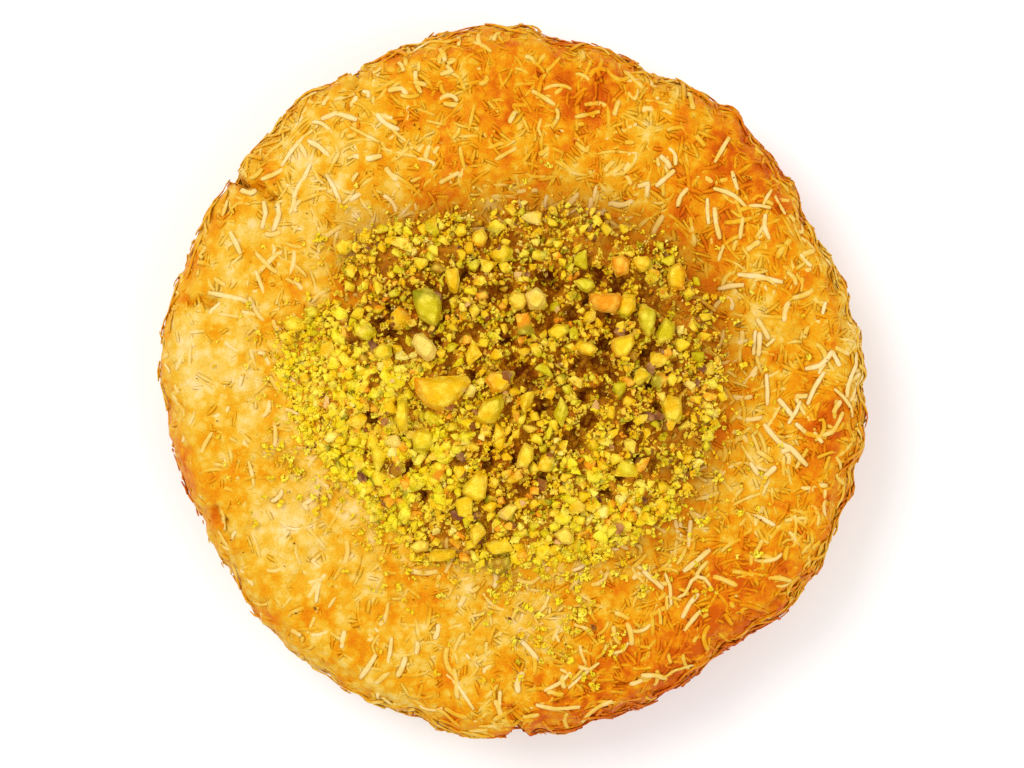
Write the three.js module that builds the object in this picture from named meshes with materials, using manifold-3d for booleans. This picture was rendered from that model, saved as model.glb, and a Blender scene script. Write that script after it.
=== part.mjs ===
// A round kunafa cheesecake, baked in a six-inch tin under a crust of shredded pastry, with a heap of
// chopped pistachios on its top. Millimetres, +Z up. The origin is the middle of the flat underside.
import * as THREE from "three";
import { mergeVertices } from "three/addons/utils/BufferGeometryUtils.js";
import Module from "manifold-3d";

const wasm = await Module();
wasm.setup();

// The cake: its radius at the widest and its height, the crown of its top, the drop of its shoulder,
// measured down and along its curve, the taper of its side and the rounding of its foot.
const cakeRadius = 75;
const cakeHeight = 36;
const topFlatRadius = 66;
const crownDrop = 1.6;
const shoulderDrop = 10.5;
const shoulderRun = 15.4;
const sideTaper = 2.6;
const footRounding = 3;
const cakeSegments = 80;

// Broad swells of the outline seen from above: degrees anticlockwise from +X, half-width in degrees and
// millimetres outwards.
const rimSwells = [
  { at: 30, spread: 14, out: -1.8 },
  { at: 65, spread: 7, out: -2.1 },
  { at: 94, spread: 9, out: 1.4 },
  { at: 107, spread: 5, out: 0.8 },
  { at: 126, spread: 5, out: 2.9 },
  { at: 175, spread: 12, out: 1.1 },
  { at: 206, spread: 17, out: -2.3 },
  { at: 264, spread: 5, out: 1.8 },
  { at: 278, spread: 7, out: 1.3 },
  { at: 310, spread: 7, out: -2.0 },
  { at: 332, spread: 12, out: 1.7 },
  { at: 357, spread: 9, out: 1.2 },
];

// Cracks where the crust has parted at the rim: degrees, then width, length inwards and depth down the side.
const rimCracks = [
  { at: 116.5, width: 3.4, length: 6, depth: 9 },
  { at: 143.5, width: 3.6, length: 13, depth: 12 },
  { at: 271, width: 5.6, length: 7, depth: 11 },
];
const crackHeight = 27;

// Lumps of the crust: the wavelength and height of each layer. They fade out towards the heap's edge and the
// foot, and turn from upwards to outwards over the rim.
const broadLumps = { wave: 26, rise: 0.75 };
const smallLumps = { wave: 9.5, rise: 0.42 };
const heapFade = { least: 2, most: 9 };
const footFade = { least: 0.5, most: 6 };
const rimFade = { least: 62, most: 75 };

// Strands of baked pastry that stand proud of the crust, kept a margin away from the heap and the foot.
const strandCount = 88;
const strandRadius = 0.8;
const strandLift = 0.4;
const strandLength = { least: 6, most: 12 };
const strandBend = { least: -0.8, most: 0.8 };
const strandSides = 3;
const strandSteps = 2;
const strandHeapMargin = 5.5;
const strandFootMargin = 4.5;

// The heap of chopped nuts: its half-lengths, its lobes, its thickness at the middle and at the edge, the
// roll of its top and its crumbs. The core stays within a share of the outline, and pieces reach past it.
const heapHalfLength = 45;
const heapHalfWidth = 39;
const heapLobes = [
  { at: 38, spread: 12, out: 2 },
  { at: 100, spread: 16, out: -2.2 },
  { at: 137, spread: 9, out: 4.5 },
  { at: 155, spread: 5, out: -3 },
  { at: 172, spread: 11, out: 6.2 },
  { at: 192, spread: 8, out: 2 },
  { at: 215, spread: 9, out: -2 },
  { at: 245, spread: 10, out: 2 },
  { at: 315, spread: 14, out: 1.6 },
];
const heapPeak = 4.6;
const heapEdge = 1.1;
const heapRoll = { wave: 17, rise: 0.22 };
const heapCrumbs = { wave: 5.5, rise: 0.7 };
const heapSegments = 44;
const coreShare = 0.93;
const contactGap = 0.3;

// The largest pieces on the heap: x, y, length, width, height and turn in degrees.
const largePieces = [
  [-14.7, -1.9, 12.2, 7.8, 4.6, 0],
  [-17.5, 15.1, 8.6, 6.2, 5, 70],
  [3, 17.5, 8, 5.2, 4.6, 0],
  [-18.3, 6.6, 6.6, 5.4, 4.2, 120],
  [-4.3, -3.4, 10.6, 5.4, 4.4, 68],
  [19.6, 17, 7, 4.2, 3.8, 172],
  [34.5, 21.9, 7, 4.4, 4, 80],
  [30.4, 12.6, 7.4, 4.2, 4, 100],
  [2.6, -15.5, 7.2, 4.4, 4, 72],
  [33.4, -4.9, 7.4, 4.8, 4, 104],
  [-7.9, -21.9, 6.2, 5, 4.2, 60],
  [-3, -38.3, 5.4, 4.8, 3.4, 20],
  [-22.6, -6.4, 8.2, 3.7, 3.8, 92],
  [-18.7, -12.1, 6, 4.4, 3.8, 10],
  [14.5, 20.4, 5.6, 3.7, 3.6, 150],
  [-6.8, 29.6, 5.8, 3.9, 3.6, 80],
  [22.6, 24.5, 5.2, 4.6, 4, 60],
  [-12.1, 21.5, 6.1, 3.4, 3.4, 92],
  [-15.3, -36.2, 6.8, 3, 2.8, 12],
  [10.9, -31.7, 4.9, 4, 3.2, 30],
];

const largePieceSunk = 0.35;

// The smaller pieces, spread over the heap, and how far a broken corner lies from where a whole one would.
const smallPieceCount = 112;
const smallPieceReach = 0.95;
const smallPieceSize = { least: 2.6, most: 4.8 };
const smallPieceTilt = { least: -0.6, most: 0.6 };
const smallPieceSunk = 0.45;
const seatMargin = 0.1;
const brokenCorner = { least: 0.84, most: 1.2 };
const slimness = { least: 0.6, most: 0.85 };
const flatness = { least: 0.5, most: 0.75 };

// The pieces that strayed from the heap: most lie around one direction, close to the heap's edge.
const strayPieceCount = 16;
const strayPieceSize = { least: 2, most: 3.2 };
const strayDirection = { middle: -40, spread: 150 };
const strayReach = { least: 5.2, most: 20 };
const strayLift = 0.3;

const degrees = Math.PI / 180;
const goldenTurn = Math.PI * (3 - Math.sqrt(5));

// A repeatable run of draws between 0 and 1.
function drawsFrom(seed) {
  let state = seed;
  return () => {
    state = (Math.imul(state, 1664525) + 1013904223) >>> 0;
    return state / 4294967296;
  };
}

function between(range, share) {
  return range.least + (range.most - range.least) * share;
}

function eased(range, value) {
  return THREE.MathUtils.smoothstep(value, range.least, range.most);
}

// The sum of the swells near an angle, given in radians.
function swellsAt(swells, angle) {
  let out = 0;
  for (const swell of swells) {
    const away = ((angle / degrees - swell.at + 540) % 360) - 180;
    out += swell.out * Math.exp(-((away / swell.spread) ** 2));
  }
  return out;
}

// Soft lumps in space, between about -1 and 1: waves in directions a golden turn apart.
function lumps(x, y, z, wave) {
  const waves = 6;
  let sum = 0;
  for (let i = 0; i < waves; i++) {
    const turn = i * goldenTurn;
    const tilt = 0.35 + 0.3 * Math.sin(i * 2.1);
    const along = x * Math.cos(turn) + y * Math.sin(turn) + z * tilt;
    sum += Math.sin((2 * Math.PI * along) / (wave * (1 + 0.12 * i)) + i * 1.7);
  }
  return sum / 3;
}

function heapRadius(angle) {
  const oval = 1 / Math.hypot(Math.cos(angle) / heapHalfLength, Math.sin(angle) / heapHalfWidth);
  return oval + swellsAt(heapLobes, angle);
}

// The height of the smooth seat that the crust gives the heap.
function seatHeight(radius) {
  return cakeHeight - crownDrop * (radius / topFlatRadius) ** 2;
}

// The profile by its length so far: the top from its middle, the shoulder, the side and the foot.
const shoulderReach = cakeRadius - topFlatRadius;
const sideBottom = cakeRadius - sideTaper;
const sideRun = cakeHeight - crownDrop - shoulderDrop - footRounding;
const footRun = (footRounding * Math.PI) / 2;
const wholeRun = topFlatRadius + shoulderRun + sideRun + footRun;

function profileAt(run) {
  if (run <= topFlatRadius) return [run, seatHeight(run)];
  const pastTop = run - topFlatRadius;
  if (pastTop <= shoulderRun) {
    const turn = (pastTop / shoulderRun) * (Math.PI / 2);
    const drop = shoulderDrop * (1 - Math.cos(turn));
    return [topFlatRadius + shoulderReach * Math.sin(turn), cakeHeight - crownDrop - drop];
  }
  const pastShoulder = pastTop - shoulderRun;
  if (pastShoulder <= sideRun) {
    return [cakeRadius - (sideTaper * pastShoulder) / sideRun, footRounding + sideRun - pastShoulder];
  }
  const turn = ((pastShoulder - sideRun) / footRun) * (Math.PI / 2);
  return [
    sideBottom - footRounding * (1 - Math.cos(turn)),
    footRounding * (1 - Math.sin(turn)),
  ];
}

// A point of the crust's surface, with the swells and lumps of the real crust added to the plain profile.
function crustPoint(angle, radius, height) {
  const share = radius / cakeRadius;
  const swollen = radius + swellsAt(rimSwells, angle) * share ** 2;
  const x = swollen * Math.cos(angle);
  const y = swollen * Math.sin(angle);
  const broad = broadLumps.rise * lumps(x, y, height, broadLumps.wave);
  const small = smallLumps.rise * lumps(x, y, height, smallLumps.wave);
  const rise = (broad + small) * eased(heapFade, radius - heapRadius(angle)) * eased(footFade, height);
  const outward = eased(rimFade, radius);
  const reach = swollen + rise * outward;
  return new THREE.Vector3(reach * Math.cos(angle), reach * Math.sin(angle), height + rise * (1 - outward));
}

// A closed manifold solid from a three.js geometry.
function solidFrom(geometry) {
  const plain = geometry.clone();
  plain.deleteAttribute("normal");
  plain.deleteAttribute("uv");
  const merged = mergeVertices(plain, 1e-4);
  const corners = merged.index.array;
  const kept = [];
  for (let i = 0; i < corners.length; i += 3) {
    const [a, b, c] = [corners[i], corners[i + 1], corners[i + 2]];
    if (a !== b && b !== c && c !== a) kept.push(a, b, c);
  }
  return new wasm.Manifold(
    new wasm.Mesh({
      numProp: 3,
      vertProperties: new Float32Array(merged.attributes.position.array),
      triVerts: new Uint32Array(kept),
    }),
  );
}

function geometryFrom(solid) {
  const mesh = solid.getMesh();
  const geometry = new THREE.BufferGeometry();
  geometry.setAttribute("position", new THREE.BufferAttribute(mesh.vertProperties, 3));
  geometry.setIndex(new THREE.BufferAttribute(mesh.triVerts, 1));
  geometry.computeVertexNormals();
  return geometry;
}

// One solid from many, without the loose scraps and sealed hollows that joining can leave.
function joined(first, rest) {
  let whole = first;
  for (const piece of rest) whole = whole.add(piece);
  return whole.decompose().reduce((largest, body) => (body.volume() > largest.volume() ? body : largest));
}

function moveVertices(geometry, place) {
  const positions = geometry.attributes.position;
  const spot = new THREE.Vector3();
  for (let i = 0; i < positions.count; i++) {
    spot.fromBufferAttribute(positions, i);
    const moved = place(spot);
    positions.setXYZ(i, moved.x, moved.y, moved.z);
  }
  return geometry;
}

// Even steps along a stretch of the profile, without its start.
function stepsAlong(start, length, count) {
  return Array.from({ length: count }, (_, i) => start + ((i + 1) * length) / count);
}

// The bare cake: its profile turned round the axis, then pushed out to the uneven crust.
function cakeBody() {
  const topRuns = [0, 32, 42, 48, 53, 58, 62, topFlatRadius];
  const shoulderRuns = stepsAlong(topFlatRadius, shoulderRun, 4);
  const sideRuns = stepsAlong(topFlatRadius + shoulderRun, sideRun, 4);
  const footRuns = stepsAlong(wholeRun - footRun, footRun, 2);
  const runs = [...topRuns, ...shoulderRuns, ...sideRuns, ...footRuns];
  const profile = runs.map((run) => new THREE.Vector2(...profileAt(run)));
  profile.push(new THREE.Vector2(0, 0));
  const turned = new THREE.LatheGeometry(profile.reverse(), cakeSegments);
  turned.rotateX(Math.PI / 2);
  return moveVertices(turned, (spot) =>
    crustPoint(Math.atan2(spot.y, spot.x), Math.hypot(spot.x, spot.y), spot.z),
  );
}

// A wedge that opens a crack at the rim and runs out inwards and downwards.
function crackCutter(crack) {
  const wedge = new THREE.OctahedronGeometry(1, 0);
  wedge.scale(crack.length, crack.width / 2, crack.depth);
  wedge.translate(cakeRadius + swellsAt(rimSwells, crack.at * degrees), 0, crackHeight);
  wedge.rotateZ(crack.at * degrees);
  return wedge;
}

// A spot lifted off the crust, square to the profile there.
function liftedSpot(angle, run, lift) {
  const [radius, height] = profileAt(run);
  const [nextRadius, nextHeight] = profileAt(run + 0.5);
  const outwards = new THREE.Vector2(height - nextHeight, nextRadius - radius).setLength(lift);
  const spot = crustPoint(angle, radius, height);
  spot.x += Math.cos(angle) * outwards.x;
  spot.y += Math.sin(angle) * outwards.x;
  spot.z += outwards.y;
  return spot;
}

// A strand laid on the crust: it starts at an angle and a run down the profile, and bends as it goes.
function strand(start, run, heading, bend, length) {
  const spots = [];
  let angle = start;
  let down = run;
  let turn = heading;
  for (let i = 0; i <= strandSteps; i++) {
    spots.push(liftedSpot(angle, down, strandLift));
    const step = length / strandSteps;
    down += Math.cos(turn) * step;
    angle += (Math.sin(turn) * step) / profileAt(down)[0];
    turn += bend / strandSteps;
  }
  const section = new THREE.Shape();
  for (let i = 0; i < strandSides; i++) {
    const turnBy = (i / strandSides) * 2 * Math.PI;
    const corner = [strandRadius * Math.cos(turnBy), strandRadius * Math.sin(turnBy)];
    if (i === 0) section.moveTo(...corner);
    else section.lineTo(...corner);
  }
  return new THREE.ExtrudeGeometry(section, {
    steps: strandSteps,
    bevelEnabled: false,
    extrudePath: new THREE.CatmullRomCurve3(spots),
  });
}

// Strands spread evenly over the crust, from the edge of the heap to just above the foot.
function crustStrands() {
  const draw = drawsFrom(11);
  const strands = [];
  for (let i = 0; i < strandCount; i++) {
    const angle = i * goldenTurn;
    const share = (i + 0.5) / strandCount;
    const length = between(strandLength, draw());
    const heading = draw() * 2 * Math.PI;
    const bend = between(strandBend, draw());
    const inner = heapRadius(angle) + strandHeapMargin + length * Math.max(0, -Math.cos(heading));
    const outer = wholeRun - footRun - strandFootMargin - length * Math.max(0, Math.cos(heading));
    const run = Math.sqrt(inner ** 2 + share * (outer ** 2 - inner ** 2));
    strands.push(solidFrom(strand(angle, run, heading, bend, length)));
  }
  return strands;
}

// A chopped piece of nut: a plain form of few sides with its corners pushed in and out.
function choppedPiece(form, length, width, height, draw) {
  form.deleteAttribute("normal");
  form.deleteAttribute("uv");
  const piece = mergeVertices(form, 1e-4);
  moveVertices(piece, (spot) => spot.clone().multiplyScalar(between(brokenCorner, draw())));
  piece.scale(length, width, height);
  return piece;
}

function brokenKernel(length, width, height, draw) {
  return choppedPiece(new THREE.IcosahedronGeometry(0.5, 0), length, width, height, draw);
}

function brokenBit(length, width, height, draw) {
  return choppedPiece(new THREE.BoxGeometry(0.8, 0.8, 0.8), length, width, height, draw);
}

function heapThickness(angle, radius) {
  const share = Math.min(radius / heapRadius(angle), 1);
  const x = radius * Math.cos(angle);
  const y = radius * Math.sin(angle);
  const rolling = 1 + heapRoll.rise * lumps(x, y, 0, heapRoll.wave);
  const crumbs = heapCrumbs.rise * lumps(x, y, 0, heapCrumbs.wave) * Math.sin(Math.PI * share);
  return heapEdge + (heapPeak - heapEdge) * (1 - share ** 2) ** 0.8 * rolling + crumbs;
}

// The core of the heap, a low crumbly dome with a lobed outline.
function heapCore() {
  const rings = [0, 0.18, 0.34, 0.48, 0.6, 0.7, 0.79, 0.87, 0.94, 1];
  const over = rings.map((share) => new THREE.Vector2(share, 1));
  const under = [1, 0.5, 0].map((share) => new THREE.Vector2(share, 0));
  const turned = new THREE.LatheGeometry([...over, ...under].reverse(), heapSegments);
  turned.rotateX(Math.PI / 2);
  return moveVertices(turned, (spot) => {
    const angle = Math.atan2(spot.y, spot.x);
    const radius = Math.hypot(spot.x, spot.y) * coreShare * heapRadius(angle);
    const base = seatHeight(radius) + contactGap;
    const top = base + heapThickness(angle, radius);
    return new THREE.Vector3(
      radius * Math.cos(angle),
      radius * Math.sin(angle),
      spot.z > 0.5 ? top : base,
    );
  });
}

// Sets a piece on the heap, sunk into it by a share of its height, and never below the heap's own underside.
function settled(piece, x, y, sunk) {
  piece.computeBoundingBox();
  const { min, max } = piece.boundingBox;
  const radius = Math.hypot(x, y);
  const floor = seatHeight(radius) + contactGap + seatMargin;
  const surface = floor + heapThickness(Math.atan2(y, x), radius);
  const bottom = Math.max(floor, surface - (max.z - min.z) * sunk);
  piece.translate(x, y, bottom - min.z);
  return solidFrom(piece);
}

function heapPieces() {
  const draw = drawsFrom(29);
  const pieces = largePieces.map(([x, y, length, width, height, turn]) => {
    const piece = brokenKernel(length, width, height, draw);
    piece.rotateZ(turn * degrees);
    return settled(piece, x, y, largePieceSunk);
  });
  for (let i = 0; i < smallPieceCount; i++) {
    const angle = i * goldenTurn + 0.35 * draw();
    const reach = heapRadius(angle) * smallPieceReach * Math.sqrt((i + 0.5) / smallPieceCount);
    const length = between(smallPieceSize, draw() ** 1.6);
    const width = length * between(slimness, draw());
    const height = length * between(flatness, draw());
    const piece = brokenBit(length, width, height, draw);
    piece.rotateX(between(smallPieceTilt, draw()));
    piece.rotateZ(draw() * Math.PI);
    pieces.push(settled(piece, reach * Math.cos(angle), reach * Math.sin(angle), smallPieceSunk));
  }
  return pieces;
}

// Pieces that strayed from the heap and stuck to the crust. The sum of three draws gathers them on one side.
function strayPieces() {
  const draw = drawsFrom(53);
  const pieces = [];
  for (let i = 0; i < strayPieceCount; i++) {
    const away = (draw() + draw() + draw() - 1.5) * strayDirection.spread;
    const angle = (strayDirection.middle + away) * degrees;
    const reach = heapRadius(angle) + between(strayReach, draw() ** 1.7);
    const size = between(strayPieceSize, draw());
    const piece = brokenBit(size, size * between(slimness, draw()), size * between(flatness, draw()), draw);
    piece.rotateZ(draw() * Math.PI);
    const spot = liftedSpot(angle, reach, strayLift);
    piece.translate(spot.x, spot.y, spot.z);
    pieces.push(solidFrom(piece));
  }
  return pieces;
}

function named(name, solid, colour, roughness) {
  const finish = { color: colour, roughness, metalness: 0, flatShading: true };
  const material = new THREE.MeshStandardMaterial(finish);
  const mesh = new THREE.Mesh(geometryFrom(solid), material);
  mesh.name = name;
  return mesh;
}

function cheesecake() {
  let cake = solidFrom(cakeBody());
  for (const crack of rimCracks) cake = cake.subtract(solidFrom(crackCutter(crack)));
  cake = joined(cake, [...crustStrands(), ...strayPieces()]);
  return named("cheesecake", cake, 0xeaa83a, 0.55);
}

function pistachioHeap() {
  const heap = joined(solidFrom(heapCore()), heapPieces());
  return named("pistachio_heap", heap, 0xc9ad2c, 0.6);
}

const cake = new THREE.Group();
cake.add(cheesecake(), pistachioHeap());

export default cake;
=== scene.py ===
import math

import bmesh
import bpy
import numpy as np
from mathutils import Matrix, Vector


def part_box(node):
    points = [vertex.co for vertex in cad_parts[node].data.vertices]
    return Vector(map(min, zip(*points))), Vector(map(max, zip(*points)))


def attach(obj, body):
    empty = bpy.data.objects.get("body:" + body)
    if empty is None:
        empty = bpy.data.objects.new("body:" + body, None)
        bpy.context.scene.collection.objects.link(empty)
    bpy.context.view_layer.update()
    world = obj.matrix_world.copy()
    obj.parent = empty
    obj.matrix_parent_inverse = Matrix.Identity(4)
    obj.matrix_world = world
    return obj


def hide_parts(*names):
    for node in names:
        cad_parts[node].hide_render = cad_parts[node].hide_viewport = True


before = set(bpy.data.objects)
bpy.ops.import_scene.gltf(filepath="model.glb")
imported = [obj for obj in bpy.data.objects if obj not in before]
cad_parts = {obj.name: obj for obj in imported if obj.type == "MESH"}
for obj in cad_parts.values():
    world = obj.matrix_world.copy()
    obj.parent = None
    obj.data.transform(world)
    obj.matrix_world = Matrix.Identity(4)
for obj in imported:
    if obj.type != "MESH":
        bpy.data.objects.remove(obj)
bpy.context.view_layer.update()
cakeLow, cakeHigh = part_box("cheesecake")
print("frame loaded, cake box", [round(v * 1000, 1) for v in (*cakeLow, *cakeHigh)])

mm = 0.001
goldenTurn = math.pi * (3 - math.sqrt(5))
photoScale = 0.2131 * mm  # of one pixel of the photograph
photoMiddle = (512, 383)  # pixel over the middle of the cake


def spotAt(pixel):
    # the place on the cake, in metres, that a pixel of the photograph shows
    return ((pixel[0] - photoMiddle[0]) * photoScale, (photoMiddle[1] - pixel[1]) * photoScale)


# The photograph looks straight down, so a long lens far above repeats it.
cameraSet = {
    "lens": 85,
    "sensor": 36,
    "outlineHeight": 30 * mm,
    "imageWidth": 1024,
    "imageMiddle": (512, 384),
    "clip": (10 * mm, 10),
}


def makeCamera():
    data = bpy.data.cameras.new("photoCamera")
    data.lens = cameraSet["lens"]
    data.sensor_width = cameraSet["sensor"]
    camera = bpy.data.objects.new("photoCamera", data)
    bpy.context.scene.collection.objects.link(camera)
    width = cameraSet["imageWidth"] * photoScale
    away = width * cameraSet["lens"] / cameraSet["sensor"]
    x = (cameraSet["imageMiddle"][0] - photoMiddle[0]) * photoScale
    y = (photoMiddle[1] - cameraSet["imageMiddle"][1]) * photoScale
    camera.location = (x, y, cameraSet["outlineHeight"] + away)
    data.clip_start, data.clip_end = cameraSet["clip"]
    bpy.context.scene.camera = camera


makeCamera()
print("camera made")


# Form of the cake and of its heap, as the solids have it.
cake = {
    "radius": 75 * mm,
    "height": 36 * mm,
    "topFlat": 66 * mm,
    "crownDrop": 1.6 * mm,
    "shoulderDrop": 10.5 * mm,
    "shoulderRun": 15.4 * mm,
    "sideTaper": 2.6 * mm,
    "footRounding": 3 * mm,
    "broadLumps": (26 * mm, 0.75 * mm),
    "smallLumps": (9.5 * mm, 0.42 * mm),
    "heapFade": (2 * mm, 9 * mm),
    "footFade": (0.5 * mm, 6 * mm),
    "rimFade": (62 * mm, 75 * mm),
    "rimJags": (6.5 * mm, 0.22 * mm),
    "jagFade": (67 * mm, 73 * mm),
    # degrees anticlockwise from +X, half-width in degrees, metres outwards
    "swells": [
        (30, 14, -1.8 * mm),
        (65, 7, -2.1 * mm),
        (94, 9, 1.4 * mm),
        (107, 5, 0.8 * mm),
        (126, 5, 2.9 * mm),
        (175, 12, 1.1 * mm),
        (206, 17, -2.3 * mm),
        (264, 5, 1.8 * mm),
        (278, 7, 1.3 * mm),
        (310, 7, -2.0 * mm),
        (332, 12, 1.7 * mm),
        (357, 9, 1.2 * mm),
    ],
    # degrees, width, length inwards, depth down the side
    "cracks": [
        (116.5, 3.4 * mm, 6 * mm, 9 * mm),
        (143.5, 3.6 * mm, 13 * mm, 12 * mm),
        (271, 5.6 * mm, 7 * mm, 11 * mm),
    ],
    "crackHeight": 27 * mm,
}
heap = {
    "halfLength": 45 * mm,
    "halfWidth": 39 * mm,
    "peak": 4.6 * mm,
    "edge": 1.1 * mm,
    "roll": (17 * mm, 0.22),
    "crumbs": (5.5 * mm, 0.7 * mm),
    "coreShare": 0.93,
    "gap": 0.3 * mm,
    "fullness": 0.8,  # lower is fuller towards the edge
    "lobes": [
        (38, 12, 2 * mm),
        (100, 16, -2.2 * mm),
        (137, 9, 4.5 * mm),
        (155, 5, -3 * mm),
        (172, 11, 6.2 * mm),
        (192, 8, 2 * mm),
        (215, 9, -2 * mm),
        (245, 10, 2 * mm),
        (315, 14, 1.6 * mm),
    ],
}
shoulderReach = cake["radius"] - cake["topFlat"]
sideRun = cake["height"] - cake["crownDrop"] - cake["shoulderDrop"] - cake["footRounding"]
footRun = cake["footRounding"] * math.pi / 2
shoulderStart = cake["topFlat"]
sideStart = shoulderStart + cake["shoulderRun"]
footStart = sideStart + sideRun
wholeRun = footStart + footRun


def eased(span, value):
    share = np.clip((value - span[0]) / (span[1] - span[0]), 0, 1)
    return share * share * (3 - 2 * share)


def swellsAt(swells, angle):
    # the sum of bumps round the axis, each with its direction, its spread in degrees and its size
    out = np.zeros_like(angle)
    for at, spread, reach in swells:
        away = (np.degrees(angle) - at + 540) % 360 - 180
        out += reach * np.exp(-((away / spread) ** 2))
    return out


# Waves in a few directions, each a little longer than the last, make up the lumps of every surface.
lumpWaves = {"count": 6, "tilt": 0.35, "tiltSwing": 0.3, "tiltStep": 2.1, "longer": 0.12, "shift": 1.7}


def lumps(x, y, z, wave):
    total = 0
    for i in range(lumpWaves["count"]):
        turn = i * goldenTurn
        tilt = lumpWaves["tilt"] + lumpWaves["tiltSwing"] * math.sin(i * lumpWaves["tiltStep"])
        along = x * math.cos(turn) + y * math.sin(turn) + z * tilt
        longer = wave * (1 + lumpWaves["longer"] * i)
        total = total + np.sin(2 * math.pi * along / longer + i * lumpWaves["shift"])
    return total / (lumpWaves["count"] / 2)


def heapRadius(angle):
    oval = 1 / np.hypot(np.cos(angle) / heap["halfLength"], np.sin(angle) / heap["halfWidth"])
    return oval + swellsAt(heap["lobes"], angle)


def edgeAt(angle):
    # the heap's reach in one direction
    return float(heapRadius(np.array([angle]))[0])


def seatHeight(radius):
    return cake["height"] - cake["crownDrop"] * (radius / cake["topFlat"]) ** 2


def heapThickness(angle, radius):
    share = np.minimum(radius / heapRadius(angle), 1)
    x = radius * np.cos(angle)
    y = radius * np.sin(angle)
    rolling = 1 + heap["roll"][1] * lumps(x, y, 0, heap["roll"][0])
    crumbs = heap["crumbs"][1] * lumps(x, y, 0, heap["crumbs"][0]) * np.sin(math.pi * share)
    dome = (1 - share**2) ** heap["fullness"]
    return heap["edge"] + (heap["peak"] - heap["edge"]) * dome * rolling + crumbs


def profileAt(run):
    # radius and height after a length along the profile: top, shoulder, side and foot
    run = np.asarray(run, float)
    overTurn = np.clip((run - shoulderStart) / cake["shoulderRun"], 0, 1) * math.pi / 2
    downSide = np.clip(run - sideStart, 0, sideRun)
    footTurn = np.clip((run - footStart) / footRun, 0, 1) * math.pi / 2
    radius = np.minimum(run, shoulderStart) + shoulderReach * np.sin(overTurn)
    radius = radius - cake["sideTaper"] * downSide / sideRun - cake["footRounding"] * (1 - np.cos(footTurn))
    height = seatHeight(np.minimum(run, shoulderStart)) - cake["shoulderDrop"] * (1 - np.cos(overTurn))
    height = height - downSide - cake["footRounding"] * np.sin(footTurn)
    return radius, height


# The crust's own surface, a little inside the solid's, so that the strands on it reach the solid's outline.
crust = {
    "inset": 0.4 * mm,
    "tone": 0.47,
    "splitFloor": 31 * mm,
    "steps": 720,
    "grain": (4.3 * mm, 0.22 * mm),
    "fineGrain": (2.1 * mm, 0.14 * mm),
    "grainShift": 7 * mm,
    "grainTilt": 1.7,
    "grainFoot": 4 * mm,
    "underHeap": 0.8,  # share of the heap's reach within which the crust is plain
    "middle": 0.5,  # share of the flat top that is cut into a few rings only
    "middleRings": 7,
    "topStep": 0.75 * mm,
    "sideStep": 0.9 * mm,
    "footRings": 6,
    "weld": 0.01 * mm,
}
# Splits in the top: their two ends in the photograph's pixels, width and depth.
splits = [
    ((238, 179), (277, 198), 1.9 * mm, 2.0 * mm),
    ((188, 300), (215, 302), 2.0 * mm, 1.4 * mm),
    ((216, 510), (229, 536), 1.7 * mm, 1.2 * mm),
    ((353, 62), (350, 108), 1.8 * mm, 1.2 * mm),
    ((601, 82), (590, 112), 2.2 * mm, 1.3 * mm),
    ((520, 738), (514, 708), 2.2 * mm, 2.0 * mm),
    ((742, 177), (748, 180), 1.4 * mm, 0.8 * mm),
    ((762, 613), (790, 590), 1.6 * mm, 1.0 * mm),
    ((556, 700), (640, 676), 1.5 * mm, 0.7 * mm),
]
splitWander = {"size": 0.5 * mm, "turns": 9}
splitEdge = (0.75, 0.2)  # shares of a split's width from its rim to its floor


def crackedIn(x, y, z):
    # how far each point is pushed in by the cracks at the rim
    push = np.zeros_like(x)
    for at, width, length, depth in cake["cracks"]:
        turn = math.radians(at)
        rim = cake["radius"] + swellsAt(cake["swells"], np.array([turn]))[0]
        out = x * math.cos(turn) + y * math.sin(turn)
        across = np.abs(y * math.cos(turn) - x * math.sin(turn))
        down = np.abs(z - cake["crackHeight"])
        opening = length * np.clip(1 - across / (width / 2) - down / depth, 0, 1)
        push = np.maximum(push, np.clip(out - (rim - opening), 0, length))
    return push


def splitDepth(x, y):
    # how deep the splits in the top are at each point
    deep = np.zeros_like(x)
    for start, end, width, depth in splits:
        x0, y0 = spotAt(start)
        x1, y1 = spotAt(end)
        share = ((x - x0) * (x1 - x0) + (y - y0) * (y1 - y0)) / ((x1 - x0) ** 2 + (y1 - y0) ** 2)
        share = np.clip(share, 0, 1)
        wander = splitWander["size"] * np.sin(share * splitWander["turns"])
        away = np.hypot(x - x0 - share * (x1 - x0) + wander, y - y0 - share * (y1 - y0) + wander)
        deep = np.maximum(deep, depth * eased((width * splitEdge[0], width * splitEdge[1]), away))
    return deep


# Where the rim is most ragged: direction, spread in degrees, metres outwards.
raggedSides = [(315, 60, 0.26 * mm), (20, 40, 0.14 * mm), (130, 30, 0.12 * mm)]
jagSharpness = 2.5
jagSlope = 0.6


def rimJags(x, y, height, angle):
    wave, size = cake["rimJags"]
    jags = np.tanh(jagSharpness * lumps(x, y, height * jagSlope, wave))
    return jags * (size + swellsAt(raggedSides, angle))


def crustSurface(angle, run):
    radius, height = profileAt(run)
    share = radius / cake["radius"]
    swollen = radius + swellsAt(cake["swells"], angle) * share**2
    x = swollen * np.cos(angle)
    y = swollen * np.sin(angle)
    rise = 0
    for wave, size in (cake["broadLumps"], cake["smallLumps"]):
        rise = rise + size * lumps(x, y, height, wave)
    rise = rise * eased(cake["heapFade"], radius - heapRadius(angle)) * eased(cake["footFade"], height)
    outward = eased(cake["rimFade"], radius)
    ragged = rimJags(x, y, height, angle) * eased(cake["jagFade"], radius) * eased(cake["footFade"], height)
    reach = swollen + rise * outward + ragged
    lift = rise * (1 - outward)
    return np.stack([reach * np.cos(angle), reach * np.sin(angle), height + lift], -1)


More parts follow.
